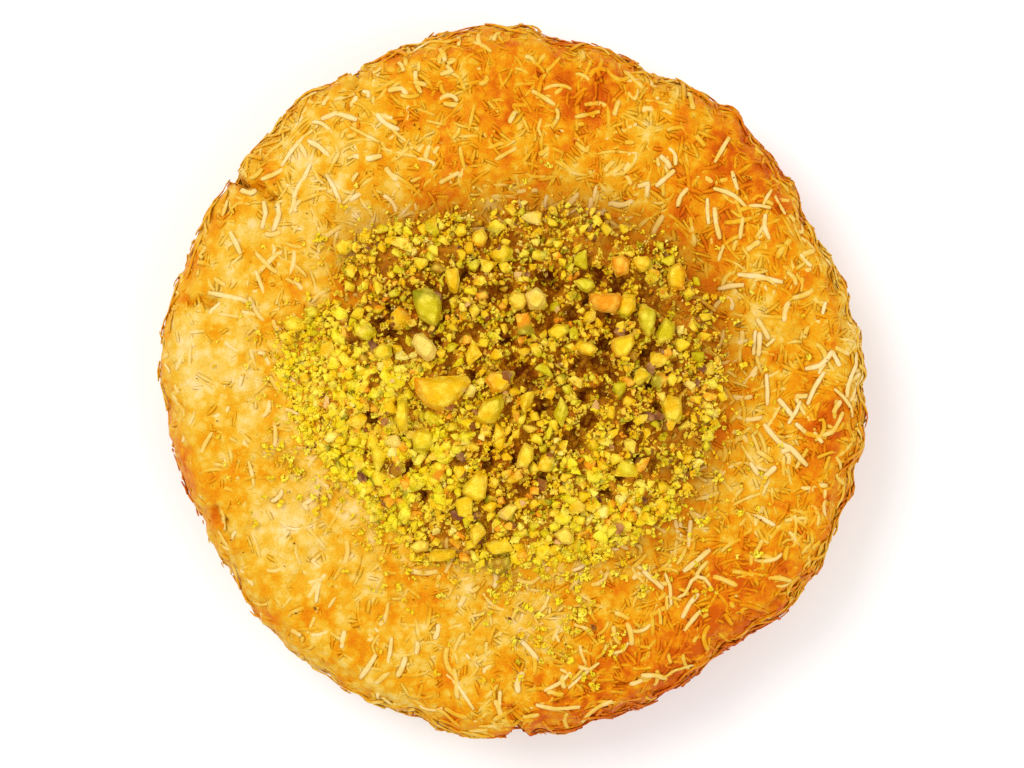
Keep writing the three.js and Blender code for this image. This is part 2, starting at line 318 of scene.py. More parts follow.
def unit(vectors):
    return vectors / np.maximum(np.linalg.norm(vectors, axis=-1, keepdims=True), 1e-12)


slopeStep = 0.2 * mm
leastRadius = 1 * mm


def crustFrame(angle, run):
    # points of the surface with their outward normals
    here = crustSurface(angle, run)
    radius = np.maximum(profileAt(run)[0], leastRadius)
    outward = crustSurface(angle, run + slopeStep) - here
    sideways = crustSurface(angle + slopeStep / radius, run) - here
    return here, unit(np.cross(outward, sideways))


# Where the crust is baked darker or paler: middle in the photograph's pixels, reach in pixels, strength.
toastedSpots = [
    ((590, 95), 42, 0.30),
    ((500, 95), 70, 0.20),
    ((755, 150), 60, 0.28),
    ((825, 425), 42, 0.26),
    ((805, 250), 45, 0.14),
    ((660, 690), 80, 0.36),
    ((610, 640), 50, 0.10),
    ((750, 600), 60, 0.20),
    ((800, 500), 40, 0.14),
    ((560, 725), 60, 0.20),
    ((205, 490), 50, 0.20),
    ((250, 600), 50, 0.10),
    ((700, 240), 80, 0.12),
    ((350, 640), 40, 0.08),
    ((348, 285), 22, 0.30),
    ((712, 575), 25, 0.18),
]
paleSpots = [
    ((235, 240), 75, 0.16),
    ((240, 400), 80, 0.16),
    ((190, 350), 50, 0.16),
    ((280, 530), 80, 0.30),
    ((560, 640), 40, 0.08),
    ((570, 578), 70, 0.12),
    ((330, 130), 60, 0.12),
    ((770, 480), 45, 0.10),
    ((490, 620), 60, 0.14),
    ((380, 640), 60, 0.08),
    ((330, 230), 50, 0.10),
]


# Bands along the rim: direction, spread in degrees, distance from the axis where each starts, change of tone.
# The paler bands at 8 and 232 degrees are painted light on rim sides that the key light hardly reaches.
rimToneAndLightBands = [
    (185, 35, 70.5 * mm, -0.10),
    (232, 30, 71 * mm, 0.06),
    (8, 34, 70 * mm, 0.16),
    (305, 30, 72.8 * mm, -0.16),
    (265, 18, 71 * mm, -0.02),
    (335, 25, 62 * mm, -0.07),
]
bandEdge = 1.5 * mm
bandDepth = (20 * mm, 27 * mm)
toneWaves = [(31 * mm, 0.05), (12 * mm, 0.08), (6.3 * mm, 0.10), (3.1 * mm, 0.06)]
splitShade = {"tone": 0.20, "depth": 1.5 * mm}
footShade = {"tone": 0.10, "height": 16 * mm}


def bandToneAndLight(points):
    # the tone that the bands along the rim add, painted light in part
    angle = np.arctan2(points[..., 1], points[..., 0])
    reach = np.hypot(points[..., 0], points[..., 1])
    tone = 0
    for at, spread, start, change in rimToneAndLightBands:
        tone = tone + swellsAt([(at, spread, change)], angle) * eased((start, start + bandEdge), reach)
    return tone * eased(bandDepth, points[..., 2])


def bakedTone(points):
    # the tone that the place gives: below 0 darker, above 0 paler
    tone = np.zeros(points.shape[:-1])
    for spots, sign in ((toastedSpots, -1), (paleSpots, 1)):
        for pixel, reach, strength in spots:
            x, y = spotAt(pixel)
            away = np.hypot(points[..., 0] - x, points[..., 1] - y) / (reach * photoScale)
            tone = tone + sign * strength * np.exp(-(away**2))
    x, y, z = points[..., 0], points[..., 1], points[..., 2]
    for wave, strength in toneWaves:
        tone = tone + strength * lumps(x, y, z, wave)
    tone = tone + bandToneAndLight(points)
    split = np.clip(splitDepth(x, y) / splitShade["depth"], 0, 1) * (z > crust["splitFloor"])
    return tone - splitShade["tone"] * split - footShade["tone"] * eased((footShade["height"], 0), z)


# Painted shadow of the heap on the crust beside it: direction, spread in degrees, strength.
heapShadowSides = [(5, 45, 0.75), (50, 35, 0.85), (95, 28, 0.5), (122, 24, 0.7), (320, 25, 0.65), (280, 20, 0.2)]
heapShadowFrom = 0.97  # share of the heap's reach
heapShadowReach = 6.5 * mm
heapShadowFloor = 30 * mm


def heapShadowShare(points):
    # how much of the heap's painted shadow lies on each point, from 0 to 1
    x, y, z = points[..., 0], points[..., 1], points[..., 2]
    angle = np.arctan2(y, x)
    past = np.hypot(x, y) - heapRadius(angle) * heapShadowFrom
    near = np.where(past > 0, np.exp(-((past / heapShadowReach) ** 2)), 1)
    sides = np.clip(swellsAt(heapShadowSides, angle), 0, 1)
    return near * sides * (z > heapShadowFloor)


# Meshes from arrays, for the many small things.
def meshFromArrays(name, points, faces, values):
    # faces is a list of arrays, each with one row of corners for every face of one kind
    mesh = bpy.data.meshes.new(name)
    points = points.reshape(-1, 3)
    mesh.vertices.add(len(points))
    mesh.vertices.foreach_set("co", points.astype(np.float32).ravel())
    sizes = np.concatenate([np.full(len(group), group.shape[1]) for group in faces])
    corners = np.concatenate([group.ravel() for group in faces]).astype(np.int32)
    mesh.loops.add(len(corners))
    mesh.loops.foreach_set("vertex_index", corners)
    mesh.polygons.add(len(sizes))
    starts = np.concatenate([[0], np.cumsum(sizes)[:-1]]).astype(np.int32)
    mesh.polygons.foreach_set("loop_start", starts)
    mesh.update(calc_edges=True)
    mesh.validate()
    setValues(mesh, values)
    mesh.polygons.foreach_set("use_smooth", np.ones(len(mesh.polygons), bool))
    return placed(name, mesh)


def setValues(mesh, values):
    for name, value in values.items():
        value = np.asarray(value, np.float32)
        if value.ndim == 2:
            full = np.ones((len(value), 4), np.float32)
            full[:, :3] = value
            attribute = mesh.attributes.new(name, "FLOAT_COLOR", "POINT")
            attribute.data.foreach_set("color", full.ravel())
        else:
            attribute = mesh.attributes.new(name, "FLOAT", "POINT")
            attribute.data.foreach_set("value", value)


def spun(name, profile, steps, weld):
    # a closed mesh made by turning a profile, given as pairs of reach and height, round the upright axis
    bm = bmesh.new()
    corners = [bm.verts.new((reach, 0, height)) for reach, height in profile]
    edges = [bm.edges.new(pair) for pair in zip(corners, corners[1:])]
    bmesh.ops.spin(
        bm, geom=corners + edges, cent=(0, 0, 0), axis=(0, 0, 1), angle=2 * math.pi,
        steps=steps, use_merge=True,
    )
    bmesh.ops.remove_doubles(bm, verts=bm.verts, dist=weld)
    bmesh.ops.recalc_face_normals(bm, faces=bm.faces)
    mesh = bpy.data.meshes.new(name)
    bm.to_mesh(mesh)
    bm.free()
    mesh.polygons.foreach_set("use_smooth", np.ones(len(mesh.polygons), bool))
    return mesh


def pointsOf(mesh):
    flat = np.zeros(len(mesh.vertices) * 3, np.float32)
    mesh.vertices.foreach_get("co", flat)
    return flat.reshape(-1, 3).astype(float)


def movePoints(mesh, points):
    mesh.vertices.foreach_set("co", points.astype(np.float32).ravel())
    mesh.update()


def blend(first, second, share):
    return first * (1 - share) + second * share


def placed(name, mesh):
    piece = bpy.data.objects.new(name, mesh)
    bpy.context.scene.collection.objects.link(piece)
    return piece


def finishPiece(piece, material, nodes=()):
    piece.data.materials.append(material)
    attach(piece, "root")
    if nodes:
        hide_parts(*nodes)
    print("made", piece.name, len(piece.data.polygons), "faces")


def linear(colour):
    # a colour given as 0 to 255, as the shader needs it
    return tuple(((c / 255 + 0.055) / 1.055) ** 2.4 if c > 10 else c / 3294.6 for c in colour)


# Effects that several finishes share.
def newGroup(name, inputs, outputs):
    group = bpy.data.node_groups.new(name, "ShaderNodeTree")
    for title, kind, value in inputs:
        socket = group.interface.new_socket(name=title, in_out="INPUT", socket_type=kind)
        socket.default_value = value
    for title, kind in outputs:
        group.interface.new_socket(name=title, in_out="OUTPUT", socket_type=kind)
    source = group.nodes.new("NodeGroupInput")
    sink = group.nodes.new("NodeGroupOutput")
    return group, source, sink


def addNode(tree, kind, settings=None, **values):
    node = tree.nodes.new(kind)
    for name, value in (settings or {}).items():
        setattr(node, name, value)
    for name, value in values.items():
        node.inputs[name].default_value = value
    return node


def mathNode(tree, operation, first, second, clamp=False):
    node = addNode(tree, "ShaderNodeMath", {"operation": operation, "use_clamp": clamp})
    for socket, value in zip(node.inputs, (first, second)):
        if isinstance(value, (int, float)):
            socket.default_value = value
        else:
            tree.links.new(value, socket)
    return node.outputs[0]


def spanNode(tree, value, given, wanted):
    # one span of values turned into another, with soft ends
    node = addNode(tree, "ShaderNodeMapRange", {"interpolation_type": "SMOOTHSTEP"})
    ends = dict(zip(("From Min", "From Max", "To Min", "To Max"), (*given, *wanted)))
    for title, end in ends.items():
        node.inputs[title].default_value = end
    tree.links.new(value, node.inputs["Value"])
    return node.outputs["Result"]


def mixColour(tree, factor, first, second, mode="MIX"):
    node = addNode(tree, "ShaderNodeMix", {"data_type": "RGBA", "blend_type": mode})
    colourInputs = [s for s in node.inputs if s.type == "RGBA"]
    for socket, value in zip((node.inputs["Factor"], *colourInputs), (factor, first, second)):
        if isinstance(value, (int, float)):
            socket.default_value = value
        elif isinstance(value, tuple):
            socket.default_value = (*value, 1)
        else:
            tree.links.new(value, socket)
    return next(s for s in node.outputs if s.type == "RGBA")


def rampNode(tree, factor, stops):
    node = addNode(tree, "ShaderNodeValToRGB")
    ramp = node.color_ramp
    while len(ramp.elements) < len(stops):
        ramp.elements.new(0.5)
    for element, (at, colour) in zip(ramp.elements, stops):
        element.position = at
        element.color = (*linear(colour), 1)
    tree.links.new(factor, node.inputs["Fac"])
    return node.outputs["Color"]


grainLook = {"detail": 3.0, "roughness": 0.6, "finer": 2.2, "top": 0.9}


def makeGrainGroup():
    # an uneven value over the surface: broad noise, and round grains a few times finer
    group, source, sink = newGroup(
        "crumbGrain",
        [("Scale", "NodeSocketFloat", 900.0), ("Fine", "NodeSocketFloat", 0.4)],
        [("Value", "NodeSocketFloat")],
    )
    place = addNode(group, "ShaderNodeTexCoord")
    noise = addNode(group, "ShaderNodeTexNoise", Detail=grainLook["detail"], Roughness=grainLook["roughness"])
    grains = addNode(group, "ShaderNodeTexVoronoi", {"feature": "F1"})
    for node, times in ((noise, 1.0), (grains, grainLook["finer"])):
        group.links.new(place.outputs["Object"], node.inputs["Vector"])
        group.links.new(mathNode(group, "MULTIPLY", source.outputs["Scale"], times), node.inputs["Scale"])
    roundGrains = mathNode(group, "SUBTRACT", grainLook["top"], grains.outputs["Distance"])
    mixed = addNode(group, "ShaderNodeMix", {"data_type": "FLOAT"})
    group.links.new(source.outputs["Fine"], mixed.inputs["Factor"])
    group.links.new(noise.outputs["Fac"], mixed.inputs["A"])
    group.links.new(roundGrains, mixed.inputs["B"])
    group.links.new(mixed.outputs["Result"], sink.inputs["Value"])
    return group


bakedStops = [
    (0.0, (194, 82, 0)),
    (0.18, (213, 116, 2)),
    (0.36, (219, 146, 8)),
    (0.52, (221, 168, 38)),
    (0.68, (225, 185, 80)),
    (0.84, (231, 196, 118)),
    (1.0, (237, 206, 143)),
]
# The noises that break the tone up: scale, the input that sets the strength, half the span of noise used.
bakedNoises = [(230.0, "Mottle", 0.13), (1500.0, "Speck", 0.5)]


def makeBakedGroup(grain):
    # the colour of baked pastry from its tone, broken up by noise
    group, source, sink = newGroup(
        "bakedColour",
        [
            ("Tone", "NodeSocketFloat", 0.5),
            ("Mottle", "NodeSocketFloat", 0.2),
            ("Speck", "NodeSocketFloat", 0.1),
        ],
        [("Color", "NodeSocketColor")],
    )
    tone = source.outputs["Tone"]
    for scale, title, edge in bakedNoises:
        noise = addNode(group, "ShaderNodeGroup", {"node_tree": grain}, Scale=scale)
        centred = spanNode(group, noise.outputs["Value"], (0.5 - edge, 0.5 + edge), (-0.5, 0.5))
        tone = mathNode(group, "ADD", tone, mathNode(group, "MULTIPLY", centred, source.outputs[title]))
    tone = mathNode(group, "ADD", tone, 0.0, clamp=True)
    group.links.new(rampNode(group, tone, bakedStops), sink.inputs["Color"])
    return group


def newMaterial(name):
    material = bpy.data.materials.new(name)
    material.use_nodes = True
    tree = material.node_tree
    return material, tree, tree.nodes["Principled BSDF"]


def bumpFrom(tree, height, distance, strength, shader):
    bump = addNode(tree, "ShaderNodeBump", Distance=distance, Strength=strength)
    tree.links.new(height, bump.inputs["Height"])
    tree.links.new(bump.outputs["Normal"], shader.inputs["Normal"])


def attributeNode(tree, name):
    return addNode(tree, "ShaderNodeAttribute", {"attribute_name": name})


def grainNode(tree, grain, scale, fine):
    # the uneven value at one scale
    return addNode(tree, "ShaderNodeGroup", {"node_tree": grain}, Scale=scale, Fine=fine).outputs["Value"]


# Butter and nut oil make the gloss warm.
glossTone = (255, 206, 120)


def setGloss(shader, look):
    shader.inputs["Specular IOR Level"].default_value = look["shine"]
    shader.inputs["Specular Tint"].default_value = (*linear(glossTone), 1)
    shader.inputs["Coat Weight"].default_value = look["syrup"]
    shader.inputs["Coat Roughness"].default_value = look["syrupRough"]


reliefFine = 0.5
# The painted shadow of the heap darkens the crust to this share of each colour.
heapShadowTone = (208, 190, 176)
roughPatches = {"scale": 160.0, "fine": 0.3, "span": 0.35}


def makePastry(name, baked, grain, look):
    material, tree, shader = newMaterial(name)
    tone = attributeNode(tree, "tone").outputs["Fac"]
    heapShadow = attributeNode(tree, "heapShadow").outputs["Fac"]
    colour = addNode(
        tree, "ShaderNodeGroup", {"node_tree": baked}, Mottle=look["mottle"], Speck=look["speck"],
    )
    tree.links.new(tone, colour.inputs["Tone"])
    # the painted shadow of the heap on the crust
    shadowed = mixColour(tree, heapShadow, colour.outputs["Color"], linear(heapShadowTone), "MULTIPLY")
    tree.links.new(shadowed, shader.inputs["Base Color"])
    relief = grainNode(tree, grain, look["grain"], reliefFine)
    bumpFrom(tree, relief, look["depth"], look["relief"], shader)
    patches = grainNode(tree, grain, roughPatches["scale"], roughPatches["fine"])
    rough = mathNode(tree, "MULTIPLY", patches, roughPatches["span"])
    tree.links.new(mathNode(tree, "ADD", rough, look["rough"]), shader.inputs["Roughness"])
    setGloss(shader, look)
    return material


# How a nut's tones, the painted shade in the hollows of its relief, and its skin are spread: parts of the
# noise's span, and scales.
nutNoise = {
    "broadFine": 0.35, "broadSpan": (0.36, 0.64), "toneShare": 0.5, "pitShadeSpan": (0.34, 0.52),
    "skinEdge": 1.6, "skinSpan": (0.55, 0.75), "skinScale": 700.0, "skinFine": 0.3,
}


def makeNut(name, grain, look):
    material, tree, shader = newMaterial(name)
    tint = attributeNode(tree, "tint").outputs["Color"]
    skin = attributeNode(tree, "skin").outputs["Fac"]
    broad = grainNode(tree, grain, look["patches"], nutNoise["broadFine"])
    lighter = mixColour(tree, nutNoise["toneShare"], tint, linear(look["pale"]))
    deeper = mixColour(tree, nutNoise["toneShare"], tint, linear(look["deep"]), "MULTIPLY")
    colour = mixColour(tree, spanNode(tree, broad, nutNoise["broadSpan"], (0, 1)), deeper, lighter)
    relief = grainNode(tree, grain, look["grain"], reliefFine)
    # Painted shade: the hollows of the relief are darkened.
    pitShade = spanNode(tree, relief, nutNoise["pitShadeSpan"], (look["pitShadeStrength"], 0))
    colour = mixColour(tree, pitShade, colour, linear(look["pitShade"]), "MULTIPLY")
    edge = mathNode(tree, "MULTIPLY", mathNode(tree, "SUBTRACT", broad, 0.5), nutNoise["skinEdge"])
    covered = mathNode(tree, "ADD", skin, edge)
    mask = spanNode(tree, covered, nutNoise["skinSpan"], (0, 1))
    skinTone = grainNode(tree, grain, nutNoise["skinScale"], nutNoise["skinFine"])
    colour = mixColour(tree, mask, colour, rampNode(tree, skinTone, look["skin"]))
    tree.links.new(colour, shader.inputs["Base Color"])
    bumpFrom(tree, relief, look["depth"], look["relief"], shader)
    shader.inputs["Roughness"].default_value = look["rough"]
    setGloss(shader, look)
    return material


grainGroup = makeGrainGroup()
bakedGroup = makeBakedGroup(grainGroup)
crustLook = {
    "mottle": 0.22, "speck": 0.30, "grain": 850.0, "depth": 0.8 * mm, "relief": 0.5,
    "rough": 0.40, "syrup": 0.02, "syrupRough": 0.22, "shine": 0.2,
}
strandLook = {
    "mottle": 0.16, "speck": 0.24, "grain": 1300.0, "depth": 0.4 * mm, "relief": 0.3,
    "rough": 0.38, "syrup": 0.02, "syrupRough": 0.22, "shine": 0.2,
}
nutLook = {
    "patches": 260.0, "pale": (252, 224, 88), "deep": (232, 190, 66), "grain": 1200.0, "depth": 0.55 * mm,
    "pitShade": (214, 168, 90), "pitShadeStrength": 0.28,
    "relief": 0.65, "rough": 0.46, "syrup": 0.03, "syrupRough": 0.2, "shine": 0.3,
    "skin": [(0.35, (128, 68, 26)), (0.5, (146, 84, 34)), (0.65, (124, 116, 26))],
}
crustFinish = makePastry("bakedCrust", bakedGroup, grainGroup, crustLook)
strandFinish = makePastry("pastryStrand", bakedGroup, grainGroup, strandLook)
nutFinish = makeNut("pistachioNut", grainGroup, nutLook)
print("finishes made")


# The crust: its profile spun round the axis, then moved out to the uneven surface.
def makeCrust():
    edge = cake["topFlat"] * crust["middle"]
    middleRuns = np.linspace(0, edge, crust["middleRings"])[:-1]
    topRuns = np.arange(edge, sideStart, crust["topStep"])
    sideRuns = np.arange(sideStart, footStart, crust["sideStep"])
    footRuns = np.linspace(footStart, wholeRun, crust["footRings"])
    runs = np.concatenate([middleRuns, topRuns, sideRuns, footRuns])
    profile = list(zip(*profileAt(runs)))
    profile += [(profile[-1][0] * 0.5, 0), (0, 0)]
    mesh = spun("crustBody", profile, crust["steps"], crust["weld"])
    moved = crustRelief(pointsOf(mesh))
    movePoints(mesh, moved)
    # the crust's tone, and the painted shadow that the heap casts on it
    setValues(mesh, {"tone": crust["tone"] + bakedTone(moved), "heapShadow": heapShadowShare(moved)})
    finishPiece(placed("crustBody", mesh), crustFinish, ["cheesecake"])


def runOf(radius, height):
    # the length along the profile at which a point of the plain profile lies
    top = radius
    overTurn = np.arcsin(np.clip((radius - cake["topFlat"]) / shoulderReach, 0, 1))
    over = shoulderStart + overTurn / (math.pi / 2) * cake["shoulderRun"]
    sideTop = cake["footRounding"] + sideRun
    down = sideStart + np.clip(sideTop - height, 0, sideRun)
    foot = footStart + np.arcsin(np.clip(1 - height / cake["footRounding"], 0, 1)) / (math.pi / 2) * footRun
    run = np.where(height > sideTop, np.where(radius > cake["topFlat"], over, top), down)
    return np.where(height < cake["footRounding"], foot, run)


def crustRelief(plain):
    radius = np.hypot(plain[:, 0], plain[:, 1])
    angle = np.arctan2(plain[:, 1], plain[:, 0])
    under = plain[:, 2] < crust["weld"]
    run = runOf(radius, plain[:, 2])
    here, normal = crustFrame(angle, run)
    lift = -crust["inset"] * np.ones(len(plain))
    for wave, size in (crust["grain"], crust["fineGrain"]):
        shifted = here[:, 0] + crust["grainShift"]
        lift += size * lumps(shifted, here[:, 1], here[:, 2] * crust["grainTilt"], wave)
    lift *= eased((0, crust["grainFoot"]), here[:, 2])
    lift = np.where(radius < heapRadius(angle) * crust["underHeap"], -crust["inset"], lift)
    lift -= splitDepth(here[:, 0], here[:, 1]) * (here[:, 2] > crust["splitFloor"])
    moved = here + normal * lift[:, None]
    push = crackedIn(moved[:, 0], moved[:, 1], moved[:, 2])
    moved[:, 0] -= push * np.cos(angle)
    moved[:, 1] -= push * np.sin(angle)
    flatUnder = plain.copy()
    swell = 1 + swellsAt(cake["swells"], angle) / cake["radius"]
    flatUnder[:, 0] *= swell
    flatUnder[:, 1] *= swell
    return np.where(under[:, None], flatUnder, moved)


makeCrust()


# Strands of shredded pastry. Each kind lies in its own layer and has its own length, thickness and tone.
strandKinds = [
    {
        "name": "shortShreds", "follow": 0.9, "count": 3300, "seed": 2, "region": "top",
        "sides": 4, "steps": 2,
        "length": (1.4 * mm, 4.6 * mm), "radius": (0.36 * mm, 0.60 * mm), "bend": 0.8, "kinks": 0.0,
        "lift": (-0.40 * mm, -0.12 * mm), "arch": (-0.1 * mm, 0.1 * mm), "tone": (0.34, 0.68), "calm": 0.8,
    },
    {
        "name": "beddedStrands", "follow": 0.9, "count": 1500, "seed": 3, "region": "top",
        "sides": 5, "steps": 5,
        "length": (4 * mm, 8 * mm), "radius": (0.38 * mm, 0.58 * mm), "bend": 1.2, "kinks": 0.2,
        "lift": (-0.40 * mm, -0.14 * mm), "arch": (-0.1 * mm, 0.1 * mm), "tone": (0.42, 0.74), "calm": 0.8,
    },
    {
        "name": "paleStrands", "follow": 0.6, "count": 760, "seed": 5, "region": "top",
        "sides": 6, "steps": 7,
        "length": (2.2 * mm, 6.2 * mm), "radius": (0.38 * mm, 0.66 * mm), "bend": 1.5, "kinks": 0.35,
        "lift": (-0.34 * mm, 0.02 * mm), "arch": (-0.15 * mm, 0.2 * mm), "tone": (0.62, 0.96), "calm": 0.9,
    },
    {
        "name": "rimShreds", "follow": 0.9, "count": 800, "seed": 11, "region": "rim",
        "sides": 4, "steps": 2,
        "length": (1.2 * mm, 3.2 * mm), "radius": (0.34 * mm, 0.60 * mm), "bend": 0.6, "kinks": 0.0,
        "lift": (-0.1 * mm, 0.7 * mm), "arch": (-0.1 * mm, 0.1 * mm), "tone": (0.34, 0.62), "calm": 1.1,
    },
    {
        "name": "sideShreds", "follow": 0.9, "count": 2600, "seed": 6, "region": "side",
        "sides": 4, "steps": 2,
        "length": (1.4 * mm, 5 * mm), "radius": (0.40 * mm, 0.64 * mm), "bend": 0.7, "kinks": 0.0,
        "lift": (-0.3 * mm, 0.4 * mm), "arch": (-0.1 * mm, 0.1 * mm), "tone": (0.36, 0.62), "calm": 1.1,
    },
    {
        "name": "sideBeddedStrands", "follow": 0.9, "count": 1500, "seed": 7, "region": "side",
        "sides": 5, "steps": 5,
        "length": (4.5 * mm, 10 * mm), "radius": (0.42 * mm, 0.62 * mm), "bend": 1.0, "kinks": 0.2,
        "lift": (-0.25 * mm, 0.45 * mm), "arch": (-0.1 * mm, 0.2 * mm), "tone": (0.40, 0.64), "calm": 1.1,
    },
    {
        "name": "sidePaleStrands", "follow": 0.6, "count": 330, "seed": 9, "region": "side",
        "sides": 6, "steps": 7,
        "length": (3.6 * mm, 8 * mm), "radius": (0.42 * mm, 0.62 * mm), "bend": 1.3, "kinks": 0.3,
        "lift": (-0.3 * mm, 0.15 * mm), "arch": (-0.2 * mm, 0.2 * mm), "tone": (0.52, 0.80), "calm": 1.2,
    },
]
# Pale strands that stand out in the photograph, each by the pixels that it runs through.
seenStrands = [
    [(726, 141), (719, 153), (713, 164)],
    [(712, 190), (724, 193), (734, 198), (744, 208)],
    [(730, 173), (733, 182), (736, 191)],
    [(770, 191), (765, 199), (761, 207)],
    [(747, 207), (758, 207), (769, 209)],
    [(713, 209), (714, 224), (718, 240)],
    [(706, 200), (706, 212), (707, 225)],
    [(741, 219), (739, 230), (738, 240)],
    [(763, 216), (762, 228), (767, 240)],
    [(775, 196), (780, 206), (784, 215)],
    [(735, 276), (754, 277), (780, 283)],
    [(716, 290), (728, 287), (741, 286)],
    [(677, 596), (682, 595), (687, 586), (691, 577), (698, 574), (705, 578), (711, 589)],
    [(682, 570), (695, 559), (708, 548)],
    [(689, 519), (688, 532), (687, 545)],
    [(786, 423), (793, 412), (798, 401)],
    [(805, 404), (812, 387), (822, 372)],
    [(803, 369), (817, 366), (826, 358), (831, 351)],
    [(831, 352), (836, 360), (838, 366)],
    [(856, 353), (855, 365), (849, 374), (845, 388), (845, 397)],
    [(832, 389), (841, 396), (849, 406), (854, 417)],
    [(839, 401), (833, 408), (831, 413)],
    [(842, 412), (838, 422), (830, 431), (819, 435)],
    [(776, 399), (784, 408), (790, 416)],
    [(793, 423), (803, 432)],
    [(762, 424), (770, 434), (777, 443), (788, 447), (797, 457), (805, 465)],
    [(779, 451), (790, 447)],
    [(753, 331), (752, 343), (751, 355)],
    [(757, 333), (757, 345), (756, 356)],
    [(826, 302), (822, 314)],
    [(811, 432), (819, 442)],
    [(760, 478), (773, 466)],
    [(748, 462), (756, 474)],
    [(764, 374), (765, 390), (765, 405)],
    [(681, 616), (688, 602), (697, 592)],
    [(683, 629), (691, 618), (699, 609)],
    [(642, 569), (652, 578), (662, 587)],
    [(664, 572), (669, 585), (670, 603)],
    [(664, 676), (682, 673), (695, 668)],
    [(629, 683), (641, 677)],
    [(612, 651), (622, 648), (627, 640)],
    [(220, 530), (227, 543), (235, 556)],
    [(226, 458), (233, 468), (241, 478)],
    [(668, 150), (674, 157), (674, 167)],
    [(673, 172), (664, 180), (655, 188)],
    [(686, 190), (679, 198), (676, 208)],
    [(659, 158), (666, 164), (669, 170)],
    [(330, 180), (336, 190), (342, 205)],
    [(266, 203), (268, 215), (264, 230)],
    [(231, 232), (238, 244), (243, 255)],
    [(355, 158), (370, 161), (383, 158)],
    [(258, 272), (264, 288), (268, 300)],
    [(210, 293), (225, 296), (245, 300), (255, 305)],
    [(215, 325), (212, 312), (222, 303)],
    [(387, 667), (391, 651), (393, 635)],
    [(307, 635), (314, 620), (319, 606)],
    [(310, 596), (318, 583), (327, 572)],
    [(361, 676), (369, 665), (377, 652)],
    [(215, 432), (207, 445), (202, 457)],
    [(192, 462), (197, 480), (205, 498)],
    [(284, 168), (294, 152), (304, 137)],
    [(262, 180), (276, 176), (288, 170)],
    [(297, 213), (296, 196), (306, 180), (312, 166)],
    [(322, 120), (338, 115), (358, 122)],
    [(309, 142), (320, 148), (330, 158)],
    [(279, 202), (281, 216), (275, 232)],
    [(544, 689), (560, 680), (570, 670)],
    [(583, 725), (598, 710), (612, 700)],
    [(568, 686), (583, 672), (598, 660)],
    [(518, 690), (517, 680), (523, 670)],
    [(536, 704), (556, 711), (580, 708)],
    [(447, 672), (460, 685), (474, 706)],
    [(640, 672), (655, 672), (667, 679)],
]


strandRegions = {
    "top": (26 * mm, sideStart - 2 * mm),
    "rim": (sideStart - 4 * mm, sideStart + 5 * mm),
    "side": (sideStart - 6 * mm, footStart + footRun * 0.55),
}
# Sides on which the strands have sunk into the filling: direction, spread in degrees, strength.
calmSides = [(175, 50, 0.6), (222, 35, 0.65)]
calmEnd = (sideStart + 7 * mm, sideStart + 1 * mm)
calmMost = 0.8
calmSink = 0.12 * mm
# How a strand runs over the surface: turns in radians, lengths in metres.
strandRun = {
    "heapClear": 0.86,  # share of the heap's reach within which no strand starts
    "sideStray": 0.55,
    "bend": 0.5,
    "kink": 0.9,
    "leastReach": 10 * mm,
    "limits": (4 * mm, wholeRun - 0.6 * mm),
}
# How a strand lies on the crust. One that a crack would push in further than this room is left out.
strandLay = {
    "tilt": 0.2 * mm,
    "calmTone": 0.5,
    "seenLift": 0.1 * mm,
    "seenSink": 0.45 * mm,
    "seenTone": 1.0,
    "seenFade": 0.25,
    "bed": 0.5,
    "inSplit": 0.8,
    "lowest": 0.7 * mm,
    "paleFrom": 0.5,
    "paleRoom": 0.2 * mm,
    "room": 3 * mm,
}
strandForm = {"flatness": (0.27, 0.48), "taper": 0.22, "wobble": 0.08, "wobbleTurns": 9, "tip": 0.25}
strandUnderShade = 0.09  # painted shade: how much darker a strand is on its sides and underside, where it meets the crust


def calmShare(angle, run):
    # how far the strands have sunk in at each point, from 0 to 1
    return np.clip(swellsAt(calmSides, angle), 0, calmMost) * eased(calmEnd, run)


def scatterOver(region, count, draw):
    # angles and runs spread evenly over the surface between two runs, clear of the heap's middle
    low, high = strandRegions[region]
    spread = np.linspace(low, high, 400)
    weight = np.cumsum(profileAt(spread)[0])
    weight = (weight - weight[0]) / (weight[-1] - weight[0])
    angle = draw.uniform(-math.pi, math.pi, count * 3)
    run = np.interp(draw.uniform(0, 1, count * 3), weight, spread)
    clear = run > heapRadius(angle) * strandRun["heapClear"]
    return angle[clear][:count], run[clear][:count]


